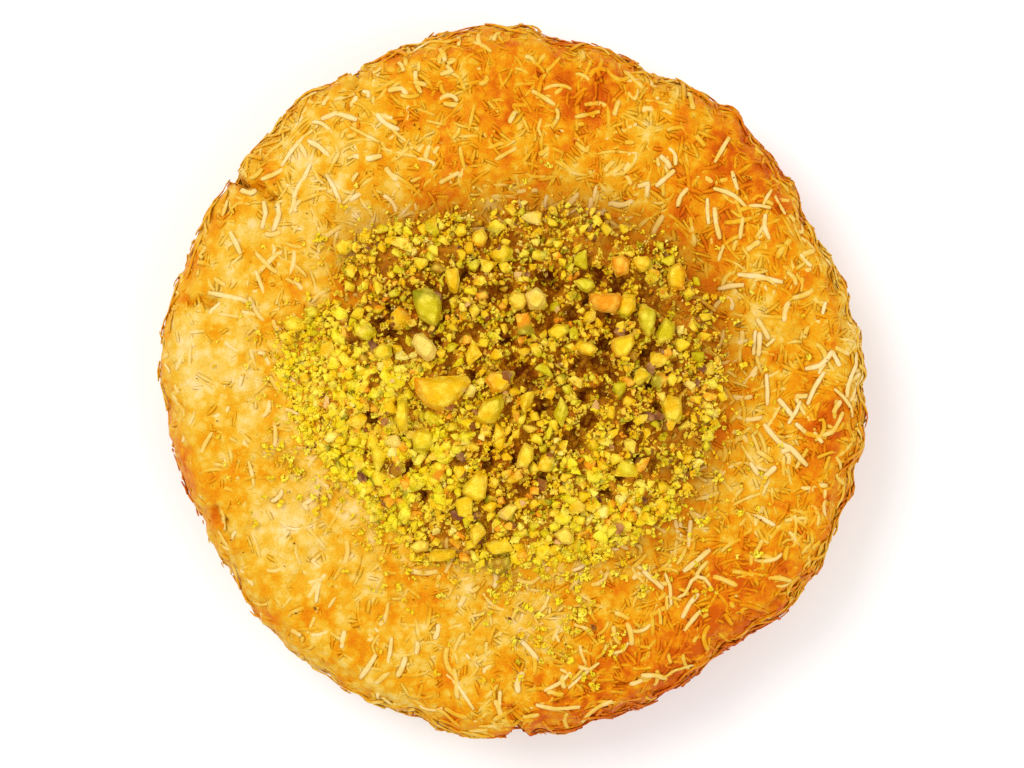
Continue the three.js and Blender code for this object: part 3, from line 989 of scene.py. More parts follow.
def makeStrands(kind):
    draw = np.random.default_rng(kind["seed"])
    angle, run = scatterOver(kind["region"], kind["count"], draw)
    shown = draw.uniform(0, 1, len(angle)) > calmShare(angle, run) * kind["calm"]
    angle, run = angle[shown], run[shown]
    count = len(angle)
    steps = kind["steps"]
    length = draw.uniform(*kind["length"], count)
    heading = draw.uniform(0, 2 * math.pi, count)
    if kind["region"] == "side":
        along = np.where(draw.uniform(0, 1, count) < 0.5, 0.5, 1.5) * math.pi
        heading = along + draw.normal(0, strandRun["sideStray"], count)
    bend = draw.normal(0, strandRun["bend"], count) * kind["bend"]
    kinked = draw.integers(1, steps + 1, count)
    kink = draw.normal(0, strandRun["kink"], count) * (draw.uniform(0, 1, count) < kind["kinks"])
    turn = heading - bend / 2
    angles = np.zeros((count, steps + 1))
    runs = np.zeros((count, steps + 1))
    around = np.maximum(profileAt(run)[0], strandRun["leastReach"])
    angles[:, 0] = angle - np.sin(heading) * length / 2 / around
    runs[:, 0] = run - np.cos(heading) * length / 2
    for step in range(steps):
        turn = turn + bend / steps + np.where(kinked == step, kink, 0)
        runs[:, step + 1] = np.clip(runs[:, step] + np.cos(turn) * length / steps, *strandRun["limits"])
        around = np.maximum(profileAt(runs[:, step])[0], strandRun["leastReach"])
        angles[:, step + 1] = angles[:, step] + np.sin(turn) * length / steps / around
    if kind["name"] == "paleStrands":
        seenAngles, seenRuns = seenPaths(steps)
        angles = np.concatenate([seenAngles, angles])
        runs = np.concatenate([seenRuns, runs])
    layStrands(kind, angles, runs, draw)


def runUnder(angle, reach):
    # the length along the profile at which the surface is this far from the axis, on the top and shoulder
    radius = reach
    for _ in range(4):
        radius = reach - swellsAt(cake["swells"], angle) * (radius / cake["radius"]) ** 2
    over = np.arcsin(np.clip((radius - cake["topFlat"]) / shoulderReach, 0, 1)) / (math.pi / 2)
    return np.minimum(radius, cake["topFlat"]) + over * cake["shoulderRun"]


def seenPaths(steps):
    angles, runs = [], []
    for pixels in seenStrands:
        points = np.array([spotAt(pixel) for pixel in pixels])
        travelled = np.concatenate([[0], np.cumsum(np.hypot(*np.diff(points, axis=0).T))])
        at = np.linspace(0, travelled[-1], steps + 1)
        x, y = (np.interp(at, travelled, points[:, i]) for i in (0, 1))
        angle = np.arctan2(y, x)
        angles.append(angle)
        runs.append(runUnder(angle, np.hypot(x, y)))
    return np.array(angles), np.array(runs)


def layStrands(kind, angles, runs, draw):
    # the strands' middle lines on the crust, each with its own height over it
    count, rings = angles.shape
    share = np.linspace(0, 1, rings)
    lift = draw.uniform(*kind["lift"], (count, 1))
    arch = draw.uniform(*kind["arch"], (count, 1))
    tilt = draw.normal(0, strandLay["tilt"], (count, 1))
    radius = draw.uniform(*kind["radius"], count)
    tone = draw.uniform(*kind["tone"], count)
    calm = calmShare(angles[:, 0], runs[:, 0])
    lift = lift - calmSink * calm[:, None]
    tone = tone + (np.mean(kind["tone"]) - tone) * calm * strandLay["calmTone"]
    if kind["name"] == "paleStrands":
        seen = slice(0, len(seenStrands))
        lift[seen] = strandLay["seenLift"] - strandLay["seenSink"] * calm[seen, None]
        tone[seen] = strandLay["seenTone"] - strandLay["seenFade"] * calm[seen]
    here, normals = crustFrame(angles, runs)
    bed = crust["inset"] * strandLay["bed"]
    height = lift + arch * np.sin(math.pi * share) + tilt * (share - 0.5) - bed
    points = here + normals * height[..., None]
    push = crackedIn(points[..., 0], points[..., 1], points[..., 2])
    points[..., 0] -= push * np.cos(angles)
    points[..., 1] -= push * np.sin(angles)
    onTop = points[..., 2] > crust["splitFloor"]
    points[..., 2] -= splitDepth(points[..., 0], points[..., 1]) * onTop * strandLay["inSplit"]
    points[..., 2] = np.maximum(points[..., 2], strandLay["lowest"])
    pale = kind["tone"][0] > strandLay["paleFrom"]
    kept = push.max(1) < strandLay["paleRoom" if pale else "room"]
    tubes(kind, points[kept], normals[kept], radius[kept], tone[kept], draw)


def tubes(kind, points, normals, radius, tone, draw):
    count, rings, _ = points.shape
    sides = kind["sides"]
    along = unit(np.gradient(points, axis=1))
    side = unit(np.cross(normals, along))
    up = unit(np.cross(along, side))
    share = np.linspace(0, 1, rings)
    ends = 1 - strandForm["taper"] * np.abs(2 * share - 1) ** 5
    waves = share[None, :] * strandForm["wobbleTurns"] + draw.uniform(0, 6, (count, 1))
    width = radius[:, None] * ends * (1 + strandForm["wobble"] * np.sin(waves))
    flatness = draw.uniform(*strandForm["flatness"], (count, 1)) * width
    turns = np.arange(sides) / sides * 2 * math.pi
    ring = (
        points[:, :, None]
        + side[:, :, None] * (np.cos(turns)[None, None, :] * width[:, :, None])[..., None]
        + up[:, :, None] * (np.sin(turns)[None, None, :] * flatness[:, :, None])[..., None]
    )
    beyond = strandForm["tip"] * np.array([-1, 1])[None, :, None] * radius[:, None, None]
    tips = points[:, [0, -1]] + along[:, [0, -1]] * beyond
    every = np.concatenate([ring.reshape(count, rings * sides, 3), tips], 1)
    perStrand = rings * sides + 2
    quads, caps = [], []
    for r in range(rings - 1):
        for s in range(sides):
            n = (s + 1) % sides
            quads.append((r * sides + s, r * sides + n, (r + 1) * sides + n, (r + 1) * sides + s))
    last = (rings - 1) * sides
    for s in range(sides):
        n = (s + 1) % sides
        caps.append((rings * sides, n, s))
        caps.append((rings * sides + 1, last + s, last + n))
    offsets = (np.arange(count) * perStrand)[:, None, None]
    faces = [(np.array(shape)[None] + offsets).reshape(-1, len(shape[0])) for shape in (quads, caps)]
    # Painted shade: each strand is darker on its sides and underside, where it meets the crust.
    low = np.append(np.tile(1 - np.clip(np.sin(turns), 0, 1), rings), (0.5, 0.5))
    shown = np.clip(tone[:, None] + bakedTone(every) * kind["follow"] - strandUnderShade * low, 0.02, 1)
    # the painted shadow of the heap reaches the strands too
    values = {"tone": shown.ravel(), "heapShadow": heapShadowShare(every).ravel()}
    piece = meshFromArrays(kind["name"], every, faces, values)
    finishPiece(piece, strandFinish)


for kind in strandKinds:
    makeStrands(kind)


# The heap's core: crumb packed with syrup, seen between the pieces on it, and darkened with painted shade
# where the gaps are deep and where the heap lies in shade.
coreLook = dict(
    nutLook, pale=(232, 166, 26), deep=(214, 146, 40), patches=420.0, pitShade=(206, 148, 66), pitShadeStrength=0.4,
    depth=1.0 * mm, relief=0.8, rough=0.6, shine=0.08,
)
coreFinish = makeNut("heapCrumb", grainGroup, coreLook)
# Where the gaps between the nuts get the most painted shade: middle in the photograph's pixels and reach in
# pixels.
shadedGaps = [
    ((520, 350), 90),
    ((640, 330), 70),
    ((600, 240), 60),
    ((400, 300), 50),
    ((520, 480), 45),
    ((660, 440), 50),
    ((490, 240), 50),
    ((690, 325), 42),
    ((580, 222), 30),
    ((362, 262), 34),
    ((452, 540), 34),
]
# Open gaps between the nuts: middle in the photograph's pixels and reach in pixels.
deepGaps = [
    ((545, 280), 8), ((516, 240), 7), ((554, 288), 6), ((522, 371), 9), ((529, 383), 8), ((590, 362), 8),
    ((541, 405), 7), ((587, 421), 8), ((489, 447), 5), ((472, 376), 5), ((448, 369), 4), ((380, 324), 6),
    ((394, 312), 5), ((433, 286), 5), ((448, 318), 5), ((466, 278), 5), ((440, 343), 4), ((372, 418), 4),
    ((508, 340), 5), ((576, 446), 6), ((544, 477), 5), ((516, 458), 4), ((605, 245), 8), ((595, 275), 8),
    ((617, 281), 6), ((614, 291), 5), ((645, 293), 8), ((660, 308), 8), ((585, 300), 5), ((606, 312), 5),
    ((576, 364), 7), ((605, 369), 9), ((601, 345), 6), ((642, 355), 5), ((675, 363), 5), ((678, 310), 9),
    ((570, 316), 7), ((641, 284), 5), ((571, 437), 6), ((625, 427), 5), ((583, 395), 6), ((603, 392), 8),
    ((647, 388), 4), ((654, 407), 5), ((648, 464), 6), ((633, 458), 4), ((662, 472), 7), ((646, 499), 5),
    ((604, 493), 5), ((617, 477), 4), ((681, 403), 6), ((690, 443), 6), ((657, 520), 5), ((368, 453), 4),
    ((411, 466), 5), ((424, 495), 5), ((461, 455), 4), ((489, 462), 6), ((489, 533), 4), ((339, 488), 3),
    ((301, 349), 4), ((352, 300), 6), ((356, 341), 5), ((393, 336), 5), ((575, 215), 5), ((632, 238), 6),
]
gapSpots = np.array([(*spotAt(pixel), reach * photoScale) for pixel, reach in deepGaps])
# Tones of the core: golden where it is lit, middle as painted shade where the heap lies in shade, dark as
# painted shade in the open gaps, edge towards its rim.
gapTones = {"dark": (116, 52, 4), "middle": (204, 132, 22), "golden": (248, 192, 44), "edge": (246, 180, 44)}
# Few pieces lie where these waves are high, the more so in the heap's dark parts.
looseGaps = {"wave": 7 * mm, "from": (0.4, 0.75), "least": 0.2, "dark": 0.8, "strength": 0.5}
gapWander = 0.7 * mm
gapWaves = (3.4 * mm, 2.9 * mm)
gapDepth = 2 * mm
# The spans are shares of the heap's reach: where the core thins out, where gaps end, where its tone changes.
core = {
    "drop": 0.5 * mm,
    "rimDrop": 2.2 * mm,
    "rimSpan": (0.7, 0.93),
    "gapSpan": (1, 0.8),
    "toneSpan": (0.7, 0.9),
    "gapSize": 0.7 * mm,
    "grit": (2.3 * mm, 0.35 * mm),
    "bottom": 1 * mm,
    "least": 0.1 * mm,
    "rings": 60,
    "underRings": 5,
    "steps": 300,
    "weld": 1e-5,
}


def shadeShare(x, y):
    # how much painted shade the heap's depths get at each point, from 0 to 1
    dark = 0
    for pixel, reach in shadedGaps:
        spotX, spotY = spotAt(pixel)
        dark = dark + np.exp(-(((x - spotX) ** 2 + (y - spotY) ** 2) / (reach * photoScale) ** 2))
    return np.clip(dark, 0, 1)


def gapNear(x, y, size):
    # how much of an open gap a piece of this size would fill, from 0 to 1
    wanderX = np.asarray(x + gapWander * lumps(x, y, 0, gapWaves[0]))[..., None]
    wanderY = np.asarray(y + gapWander * lumps(x, y, 9 * mm, gapWaves[1]))[..., None]
    away = (wanderX - gapSpots[:, 0]) ** 2 + (wanderY - gapSpots[:, 1]) ** 2
    return np.exp(-((away / (gapSpots[:, 2] + size) ** 2) ** 2)).max(-1)


def openGap(x, y):
    # where few pieces lie, so that the dark depths show between them
    waves = eased(looseGaps["from"], lumps(x, y, 3 * mm, looseGaps["wave"]))
    loose = (looseGaps["least"] + looseGaps["dark"] * shadeShare(x, y)) * waves
    return np.maximum(loose * looseGaps["strength"], gapNear(x, y, 0))


def coreHeight(angle, radius):
    # the top of the core: lower where a gap is open
    x, y = radius * np.cos(angle), radius * np.sin(angle)
    share = radius / heapRadius(angle)
    top = seatHeight(radius) + heap["gap"] + heapThickness(angle, radius) - core["drop"]
    top = top - core["rimDrop"] * eased(core["rimSpan"], share)
    return top - gapDepth * openGap(x, y) * eased(core["gapSpan"], share)


def makeHeapCore():
    # a disc of plain heights 1 and 0, whose points are then moved out and up to the heap's own
    profile = [(share, 1) for share in np.linspace(0, 1, core["rings"])]
    profile += [(share, 0) for share in np.linspace(1, 0, core["underRings"])]
    mesh = spun("heapCore", profile, core["steps"], core["weld"])
    plain = pointsOf(mesh)
    angle = np.arctan2(plain[:, 1], plain[:, 0])
    radius = np.hypot(plain[:, 0], plain[:, 1]) * heap["coreShare"] * heapRadius(angle)
    x, y = radius * np.cos(angle), radius * np.sin(angle)
    wave, size = core["grit"]
    top = coreHeight(angle, radius) + size * lumps(x, y, 0, wave)
    under = seatHeight(radius) - core["bottom"]
    height = np.where(plain[:, 2] > 0.5, np.maximum(top, under + core["least"]), under)
    movePoints(mesh, np.stack([x, y, height], -1))
    dark = shadeShare(x, y)[:, None]
    gap = np.maximum(openGap(x, y), gapNear(x, y, core["gapSize"]))[:, None]
    tone = {name: np.array(linear(colour)) for name, colour in gapTones.items()}
    # painted shade: the shaded copy where the heap lies in shade, the dark tone in the open gaps
    tint = blend(blend(tone["golden"], tone["middle"], dark), tone["dark"], gap)
    rim = eased(core["toneSpan"], radius / heapRadius(angle))[:, None]
    setValues(mesh, {"tint": blend(tint, tone["edge"], rim), "skin": np.zeros(len(plain))})
    finishPiece(placed("heapCore", mesh), coreFinish, ["pistachio_heap"])


makeHeapCore()


# The heights of the heap and of the crust round it, on a grid, so that each piece settles on what lies there.
class HeapGround:
    crustDrop = 0.2 * mm
    seatShare = 0.3  # of a piece's size, over which the ground under it is levelled
    edgeDrop = 0.6  # of a piece's height, by which its edge lies lower than its top

    def __init__(self, reach, cell):
        self.reach = reach
        self.cell = cell
        steps = int(2 * reach / cell) + 1
        self.line = np.linspace(-reach, reach, steps)
        x, y = np.meshgrid(self.line, self.line, indexing="ij")
        angle = np.arctan2(y, x)
        radius = np.hypot(x, y)
        inside = radius < heap["coreShare"] * heapRadius(angle)
        onHeap = coreHeight(angle, radius)
        onCrust = crustSurface(angle, np.minimum(radius, cake["topFlat"]))[..., 2] - self.crustDrop
        self.height = np.where(inside, np.maximum(onHeap, onCrust), onCrust)
        self.bare = self.height.copy()

    def window(self, x, y, reach):
        i = int(round((x + self.reach) / self.cell))
        j = int(round((y + self.reach) / self.cell))
        n = max(1, int(round(reach / self.cell)))
        return slice(max(i - n, 0), i + n + 1), slice(max(j - n, 0), j + n + 1)

    def under(self, x, y, size):
        # the height that a piece lies on, and how much of it is other pieces
        across, along = self.window(x, y, size * self.seatShare)
        low = float(self.height[across, along].mean())
        return low, low - float(self.bare[across, along].mean())

    def lay(self, x, y, size, top, depth):
        across, along = self.window(x, y, size * 0.5)
        dx = self.line[across][:, None] - x
        dy = self.line[along][None, :] - y
        away = (dx**2 + dy**2) / (size * 0.5) ** 2
        dome = top - depth * self.edgeDrop * np.clip(away, 0, 1)
        patch = self.height[across, along]
        self.height[across, along] = np.where(away < 1, np.maximum(patch, dome), patch)


ground = HeapGround(68 * mm, 0.4 * mm)


# Broken shapes, in shares of their own length: how far the corners stray and lie from the middle.
chunkForm = {"stray": 0.35, "upStray": 0.16, "reach": (0.34, 0.56)}
slabForm = {"stray": (0.94, 1.06), "upStray": (-0.12, 0.12), "bevel": 0.03, "cuts": 3, "crumble": 0.035}
slabRings = [(0.9, -0.5), (1.0, -0.1), (0.68, 0.5)]  # size and height of the outline at three levels
wornWaves = [(0.42, 1.0), (0.19, 0.6), (0.09, 0.3)]  # length and strength of the waves on broken sides
clusterForm = {"grains": 5, "size": (0.36, 0.62), "spread": (0.18, 0.36)}


def brokenChunk(corners, bevel, cuts, crumble, draw):
    # a chunk with flat broken sides, about one across
    turns = np.arange(corners) * goldenTurn + draw.normal(0, chunkForm["stray"], corners)
    up = 1 - 2 * (np.arange(corners) + 0.5) / corners + draw.normal(0, chunkForm["upStray"], corners)
    up = np.clip(up, -1, 1)
    flat = np.sqrt(1 - up**2)
    places = np.stack([flat * np.cos(turns), flat * np.sin(turns), up], -1)
    return wornHull(places * draw.uniform(*chunkForm["reach"], (corners, 1)), bevel, cuts, crumble, draw)


def slabChunk(outline, height, draw):
    # a flat-topped chunk with a given outline, about one long, and its height as a share of its length
    rings = []
    for size, up in slabRings:
        ring = np.zeros((len(outline), 3))
        ring[:, :2] = outline * size * draw.uniform(*slabForm["stray"], (len(outline), 1))
        ring[:, 2] = height * (up + draw.uniform(*slabForm["upStray"], len(outline)))
        rings.append(ring)
    return wornHull(np.concatenate(rings), slabForm["bevel"], slabForm["cuts"], slabForm["crumble"], draw)


def wornHull(places, bevel, cuts, crumble, draw):
    # the hull of a few corners, with its edges worn and its sides rough
    bm = bmesh.new()
    for place in places:
        bm.verts.new(place)
    hull = bmesh.ops.convex_hull(bm, input=bm.verts[:])
    loose = {v for v in hull["geom_interior"] + hull["geom_unused"] if isinstance(v, bmesh.types.BMVert)}
    bmesh.ops.delete(bm, geom=list(loose), context="VERTS")
    if bevel:
        bmesh.ops.bevel(
            bm, geom=bm.edges[:], offset=bevel, offset_type="OFFSET", segments=1, profile=0.5,
            affect="EDGES", clamp_overlap=True, material=-1,
        )
    bmesh.ops.triangulate(bm, faces=bm.faces[:])
    if cuts:
        bmesh.ops.subdivide_edges(bm, edges=bm.edges[:], cuts=cuts, use_grid_fill=True)
        bmesh.ops.triangulate(bm, faces=bm.faces[:])
    bmesh.ops.recalc_face_normals(bm, faces=bm.faces)
    bm.verts.index_update()
    points = np.array([v.co for v in bm.verts])
    faces = np.array([[v.index for v in f.verts] for f in bm.faces])
    bm.free()
    shift = draw.uniform(0, 9, 3)
    for wave, share in wornWaves:
        bumps = lumps(points[:, 0] + shift[0], points[:, 1] + shift[1], points[:, 2] + shift[2], wave)
        points = points * (1 + crumble * share * bumps[:, None])
    return points, faces


def crumbCluster(draw):
    # small broken grains grown together
    allPoints, allFaces, offset = [], [], 0
    for _ in range(clusterForm["grains"]):
        points, faces = brokenChunk(*nutForms["grain"], draw)
        points = points * draw.uniform(*clusterForm["size"])
        points = points + unit(draw.normal(0, 1, 3)) * draw.uniform(*clusterForm["spread"])
        allFaces.append(faces + offset)
        allPoints.append(points)
        offset += len(points)
    return np.concatenate(allPoints), np.concatenate(allFaces)


def turnMatrices(tilt, turn):
    # a turn about the upright, then a tilt about a level line, for each piece
    count = len(turn)
    spin = np.zeros((count, 3, 3))
    spin[:, 0, 0], spin[:, 0, 1] = np.cos(turn), -np.sin(turn)
    spin[:, 1, 0], spin[:, 1, 1] = np.sin(turn), np.cos(turn)
    spin[:, 2, 2] = 1
    lean = np.zeros((count, 3, 3))
    lean[:, 0, 0] = 1
    lean[:, 1, 1], lean[:, 1, 2] = np.cos(tilt), -np.sin(tilt)
    lean[:, 2, 1], lean[:, 2, 2] = np.sin(tilt), np.cos(tilt)
    return spin @ lean


nutTones = {
    "yellow": (238, 202, 22),
    "bright": (246, 221, 42),
    "butter": (246, 222, 84),
    "green": (208, 203, 22),
    "deepGreen": (142, 151, 22),
    "cream": (252, 230, 128),
    "orange": (240, 164, 30),
    "olive": (176, 130, 24),
}

secondTones = ["green", "deepGreen", "orange", "bright", "butter"]
brightest = 0.96  # the most that any nut sends back of one colour

# The outlines of the pieces that stand out most, in the photograph's pixels, with height in mm and two tones.
slabNuts = [
    ([(415, 377), (470, 375), (472, 382), (461, 393), (452, 410), (438, 411), (425, 404), (416, 391)],
     4.6, "yellow", "orange"),
    ([(415, 293), (427, 289), (443, 296), (444, 315), (439, 329), (433, 328), (421, 320), (416, 303)],
     5.0, "green", "deepGreen"),
    ([(508, 300), (513, 293), (524, 295), (528, 303), (523, 311), (513, 313)], 4.2, "butter", "yellow"),
    ([(524, 295), (536, 289), (545, 296), (546, 305), (539, 312), (529, 312), (525, 304)],
     4.8, "butter", "cream"),
    ([(414, 344), (416, 335), (423, 333), (433, 341), (439, 350), (435, 359), (429, 363), (420, 354)],
     4.2, "cream", "cream"),
    ([(485, 400), (503, 393), (504, 406), (496, 423), (483, 425), (473, 419), (479, 409)],
     4.4, "yellow", "green"),
    ([(490, 372), (500, 371), (515, 380), (509, 387), (500, 393), (492, 393), (485, 380)],
     4.0, "yellow", "orange"),
    ([(589, 295), (618, 295), (620, 305), (613, 315), (598, 314), (587, 306)], 3.8, "orange", "orange"),
    ([(622, 295), (633, 296), (633, 311), (624, 320), (615, 315), (616, 302)], 3.8, "yellow", "green"),
    ([(639, 305), (653, 311), (652, 324), (646, 341), (637, 328), (635, 315)], 4.0, "green", "yellow"),
    ([(663, 318), (672, 326), (670, 341), (654, 346), (652, 335), (659, 326)], 3.6, "green", "bright"),
    ([(609, 341), (615, 337), (631, 335), (633, 344), (624, 359), (613, 358), (609, 350)],
     3.4, "bright", "orange"),
    ([(667, 268), (678, 262), (684, 275), (681, 293), (668, 290), (664, 280)], 4.0, "yellow", "orange"),
    ([(609, 259), (620, 256), (628, 263), (626, 276), (615, 280), (609, 270)], 4.0, "orange", "yellow"),
    ([(571, 283), (581, 280), (592, 283), (594, 289), (585, 295), (579, 292)], 3.6, "green", "bright"),
    ([(572, 348), (577, 341), (589, 343), (597, 350), (589, 357), (579, 354)], 3.2, "yellow", "bright"),
    ([(546, 332), (555, 325), (567, 326), (568, 333), (559, 341), (549, 338)], 3.2, "bright", "green"),
    ([(524, 440), (534, 446), (533, 459), (526, 468), (516, 467), (518, 454)], 4.0, "bright", "butter"),
    ([(658, 400), (667, 393), (678, 398), (680, 415), (674, 423), (663, 422), (659, 413)],
     4.0, "yellow", "green"),
    ([(400, 400), (409, 397), (410, 415), (410, 430), (402, 431), (397, 419)], 3.8, "bright", "green"),
    ([(413, 437), (420, 428), (435, 431), (436, 441), (431, 450), (416, 449)], 3.8, "bright", "green"),
    ([(447, 272), (459, 270), (461, 283), (458, 295), (451, 294), (447, 283)], 3.4, "yellow", "bright"),
    ([(474, 235), (483, 231), (489, 240), (485, 250), (477, 251), (472, 244)], 3.6, "yellow", "orange"),
    ([(490, 255), (505, 246), (513, 253), (511, 261), (503, 267), (493, 263)], 3.4, "yellow", "green"),
    ([(465, 482), (479, 467), (488, 473), (487, 497), (479, 500), (463, 492)], 4.2, "bright", "yellow"),
    ([(498, 510), (509, 501), (520, 501), (515, 510), (507, 519), (499, 514)], 3.2, "butter", "cream"),
    ([(552, 532), (565, 523), (574, 532), (570, 543), (561, 542)], 3.2, "butter", "cream"),
    ([(486, 562), (492, 556), (511, 553), (512, 562), (502, 574), (492, 571)], 3.4, "olive", "deepGreen"),
    ([(428, 553), (435, 547), (457, 547), (455, 556), (442, 560), (431, 559)], 2.8, "yellow", "bright"),
    ([(410, 545), (420, 537), (431, 540), (429, 549), (418, 551)], 2.8, "butter", "bright"),
    ([(337, 248), (344, 240), (354, 242), (356, 251), (348, 257), (339, 256)], 3.2, "yellow", "bright"),
    ([(285, 322), (297, 316), (309, 322), (311, 330), (300, 334), (288, 331)], 2.6, "bright", "yellow"),
    ([(280, 336), (288, 331), (297, 338), (296, 345), (287, 345)], 2.2, "bright", "yellow"),
    ([(301, 373), (308, 371), (313, 377), (311, 384), (303, 383)], 2.2, "yellow", "green"),
    ([(306, 310), (315, 306), (323, 311), (321, 318), (311, 319)], 2.4, "green", "yellow"),
    ([(376, 351), (385, 343), (394, 346), (395, 356), (388, 361), (378, 358)], 3.4, "bright", "green"),
]
# More pieces that stand out: middle in the photograph's pixels, length, width and height in mm,
# turn in degrees, tone and share of skin.
largeNuts = [
    ((507, 377), 4.4, 3.2, 3.0, 10, "olive", 0.7),
    ((525, 327), 5.2, 3.6, 3.2, 100, "orange", 0.0),
    ((532, 221), 4.4, 3.0, 2.8, 0, "cream", 0.0),
    ((403, 318), 4.8, 4.6, 3.6, 30, "yellow", 0.1),
    ((380, 456), 6.0, 3.2, 3.2, 88, "green", 0.0),
    ((395, 440), 4.2, 3.0, 3.0, 10, "cream", 0.0),
    ((400, 467), 3.9, 3.1, 2.8, 20, "olive", 0.3),
    ((474, 355), 5.2, 3.5, 3.2, 80, "yellow", 0.0),
    ((656, 361), 4.4, 3.7, 3.2, 30, "yellow", 0.1),
    ((618, 391), 4.0, 3.2, 3.0, 80, "green", 0.1),
    ((657, 380), 4.0, 3.3, 3.0, 10, "orange", 0.1),
    ((526, 402), 5.0, 3.5, 3.2, 85, "yellow", 0.0),
    ((561, 414), 6.4, 2.9, 3.0, 84, "green", 0.1),
    ((547, 461), 4.2, 3.8, 3.0, 30, "yellow", 0.1),
    ((625, 468), 4.8, 4.2, 3.4, 20, "bright", 0.1),
    ((639, 462), 4.0, 3.0, 2.8, 60, "orange", 0.7),
    ((575, 505), 3.8, 3.5, 3.0, 30, "yellow", 0.0),
    ((498, 545), 5.8, 3.1, 2.8, 5, "bright", 0.0),
    ((465, 504), 5.0, 4.0, 3.2, 80, "bright", 0.0),
    ((477, 529), 5.4, 3.4, 3.0, 75, "yellow", 0.0),
    ((433, 228), 4.4, 2.8, 2.8, 85, "yellow", 0.1),
    ((404, 245), 4.4, 2.8, 2.8, 0, "butter", 0.0),
    ((495, 229), 4.2, 3.4, 3.0, 10, "bright", 0.0),
    ((641, 265), 4.5, 3.5, 3.0, 0, "yellow", 0.0),
    ((649, 279), 3.6, 3.0, 2.8, 60, "orange", 0.0),
    ((587, 318), 3.5, 3.0, 2.8, 80, "bright", 0.0),
    ((580, 264), 4.2, 3.3, 3.0, 80, "green", 0.1),
    ((521, 552), 3.6, 3.0, 2.6, 80, "yellow", 0.0),
    ((478, 513), 2.8, 2.0, 1.8, 40, "olive", 0.9),
    ((542, 483), 3.0, 2.2, 2.0, 100, "olive", 0.9),
    ((360, 420), 4.2, 3.2, 3.0, 20, "yellow", 0.1),
    ((330, 350), 4.0, 3.0, 2.6, 70, "yellow", 0.0),
]
sharpAngle = 50
largeSeed = 21
slabTilt = 0.06
roundTilt = 0.18
roundForm = (10, 0.04, 2, 0.04)  # corners, width of the worn edges, extra cuts and roughness
largeSink = 0.3
largeTop = 45.2 * mm  # no large nut reaches higher
largeSkin = {"up": 0.3, "change": 1.6}
# The second tone of a large nut: where it starts on a slab, how far it fades, its most, how much it wanders.
secondTone = {"slabRim": 0.3, "fade": (-0.1, 0.3), "most": 0.85, "wander": 0.5}
largeLight = (0.98, 1.1)


def slabNut(outline, height, draw):
    # a slab's points in metres round its middle, with its faces and that middle
    corners = np.array([spotAt(pixel) for pixel in outline])
    middle = (corners.min(0) + corners.max(0)) / 2
    length = np.ptp(corners, axis=0).max()
    points, faces = slabChunk((corners - middle) / length, height * mm / length, draw)
    spin = turnMatrices(draw.normal(0, slabTilt, 1), np.zeros(1))[0]
    return (points * length) @ spin.T, faces, middle


def roundNut(pixel, size, turn, draw):
    points, faces = brokenChunk(*roundForm, draw)
    spin = turnMatrices(draw.normal(0, roundTilt, 1), np.array([math.radians(turn)]))[0]
    points = points / np.ptp(points, axis=0) * np.array(size) * mm
    return points @ spin.T, faces, np.array(spotAt(pixel))


def finishNuts(kind, allPoints, allFaces, tints, skins):
    values = {"tint": np.concatenate(tints), "skin": np.concatenate(skins)}
    piece = meshFromArrays(kind["name"], np.concatenate(allPoints), [np.concatenate(allFaces)], values)
    piece.data.set_sharp_from_angle(angle=math.radians(sharpAngle))
    finishPiece(piece, kind.get("finish", nutFinish))


def makeLargeNuts():
    draw = np.random.default_rng(largeSeed)
    nuts = []
    for outline, height, tone, second in slabNuts:
        nuts.append((*slabNut(outline, height, draw), tone, second, 0.0))
    for pixel, length, width, height, turn, tone, skin in largeNuts:
        second = secondTones[draw.integers(0, len(secondTones))]
        nuts.append((*roundNut(pixel, (length, width, height), turn, draw), tone, second, skin))
    allPoints, allFaces, tints, skins = [], [], [], []
    offset = 0
    for i, (points, faces, middle, tone, second, skin) in enumerate(nuts):
        x, y = middle
        across, along, height = np.ptp(points, axis=0)
        bottom = min(ground.under(x, y, min(across, along))[0] - largeSink * height, largeTop - height)
        allPoints.append(points + np.array([x, y, bottom - points[:, 2].min()]))
        ground.lay(x, y, (across + along) / 2, bottom + height, height)
        allFaces.append(faces + offset)
        offset += len(points)
        shape = points / max(across, along)
        skinSide = unit(draw.normal(0, 1, 3) + np.array([0, 0, largeSkin["up"]]))
        cover = shape @ skinSide * largeSkin["change"] + skin
        aside = shape @ unit(draw.normal(0, 1, 3))
        if i < len(slabNuts):  # a slab's second tone lies along its rim
            away = np.hypot(shape[:, 0], shape[:, 1]) - secondTone["slabRim"]
            aside = away + aside * secondTone["wander"]
        fade = eased(secondTone["fade"], aside)[:, None] * secondTone["most"]
        mixed = blend(np.array(linear(nutTones[tone])), np.array(linear(nutTones[second])), fade)
        tints.append(np.minimum(mixed * draw.uniform(*largeLight), brightest))
        skins.append(np.clip(cover, 0, 1) * (skin > 0))
    finishNuts({"name": "largeNuts"}, allPoints, allFaces, tints, skins)


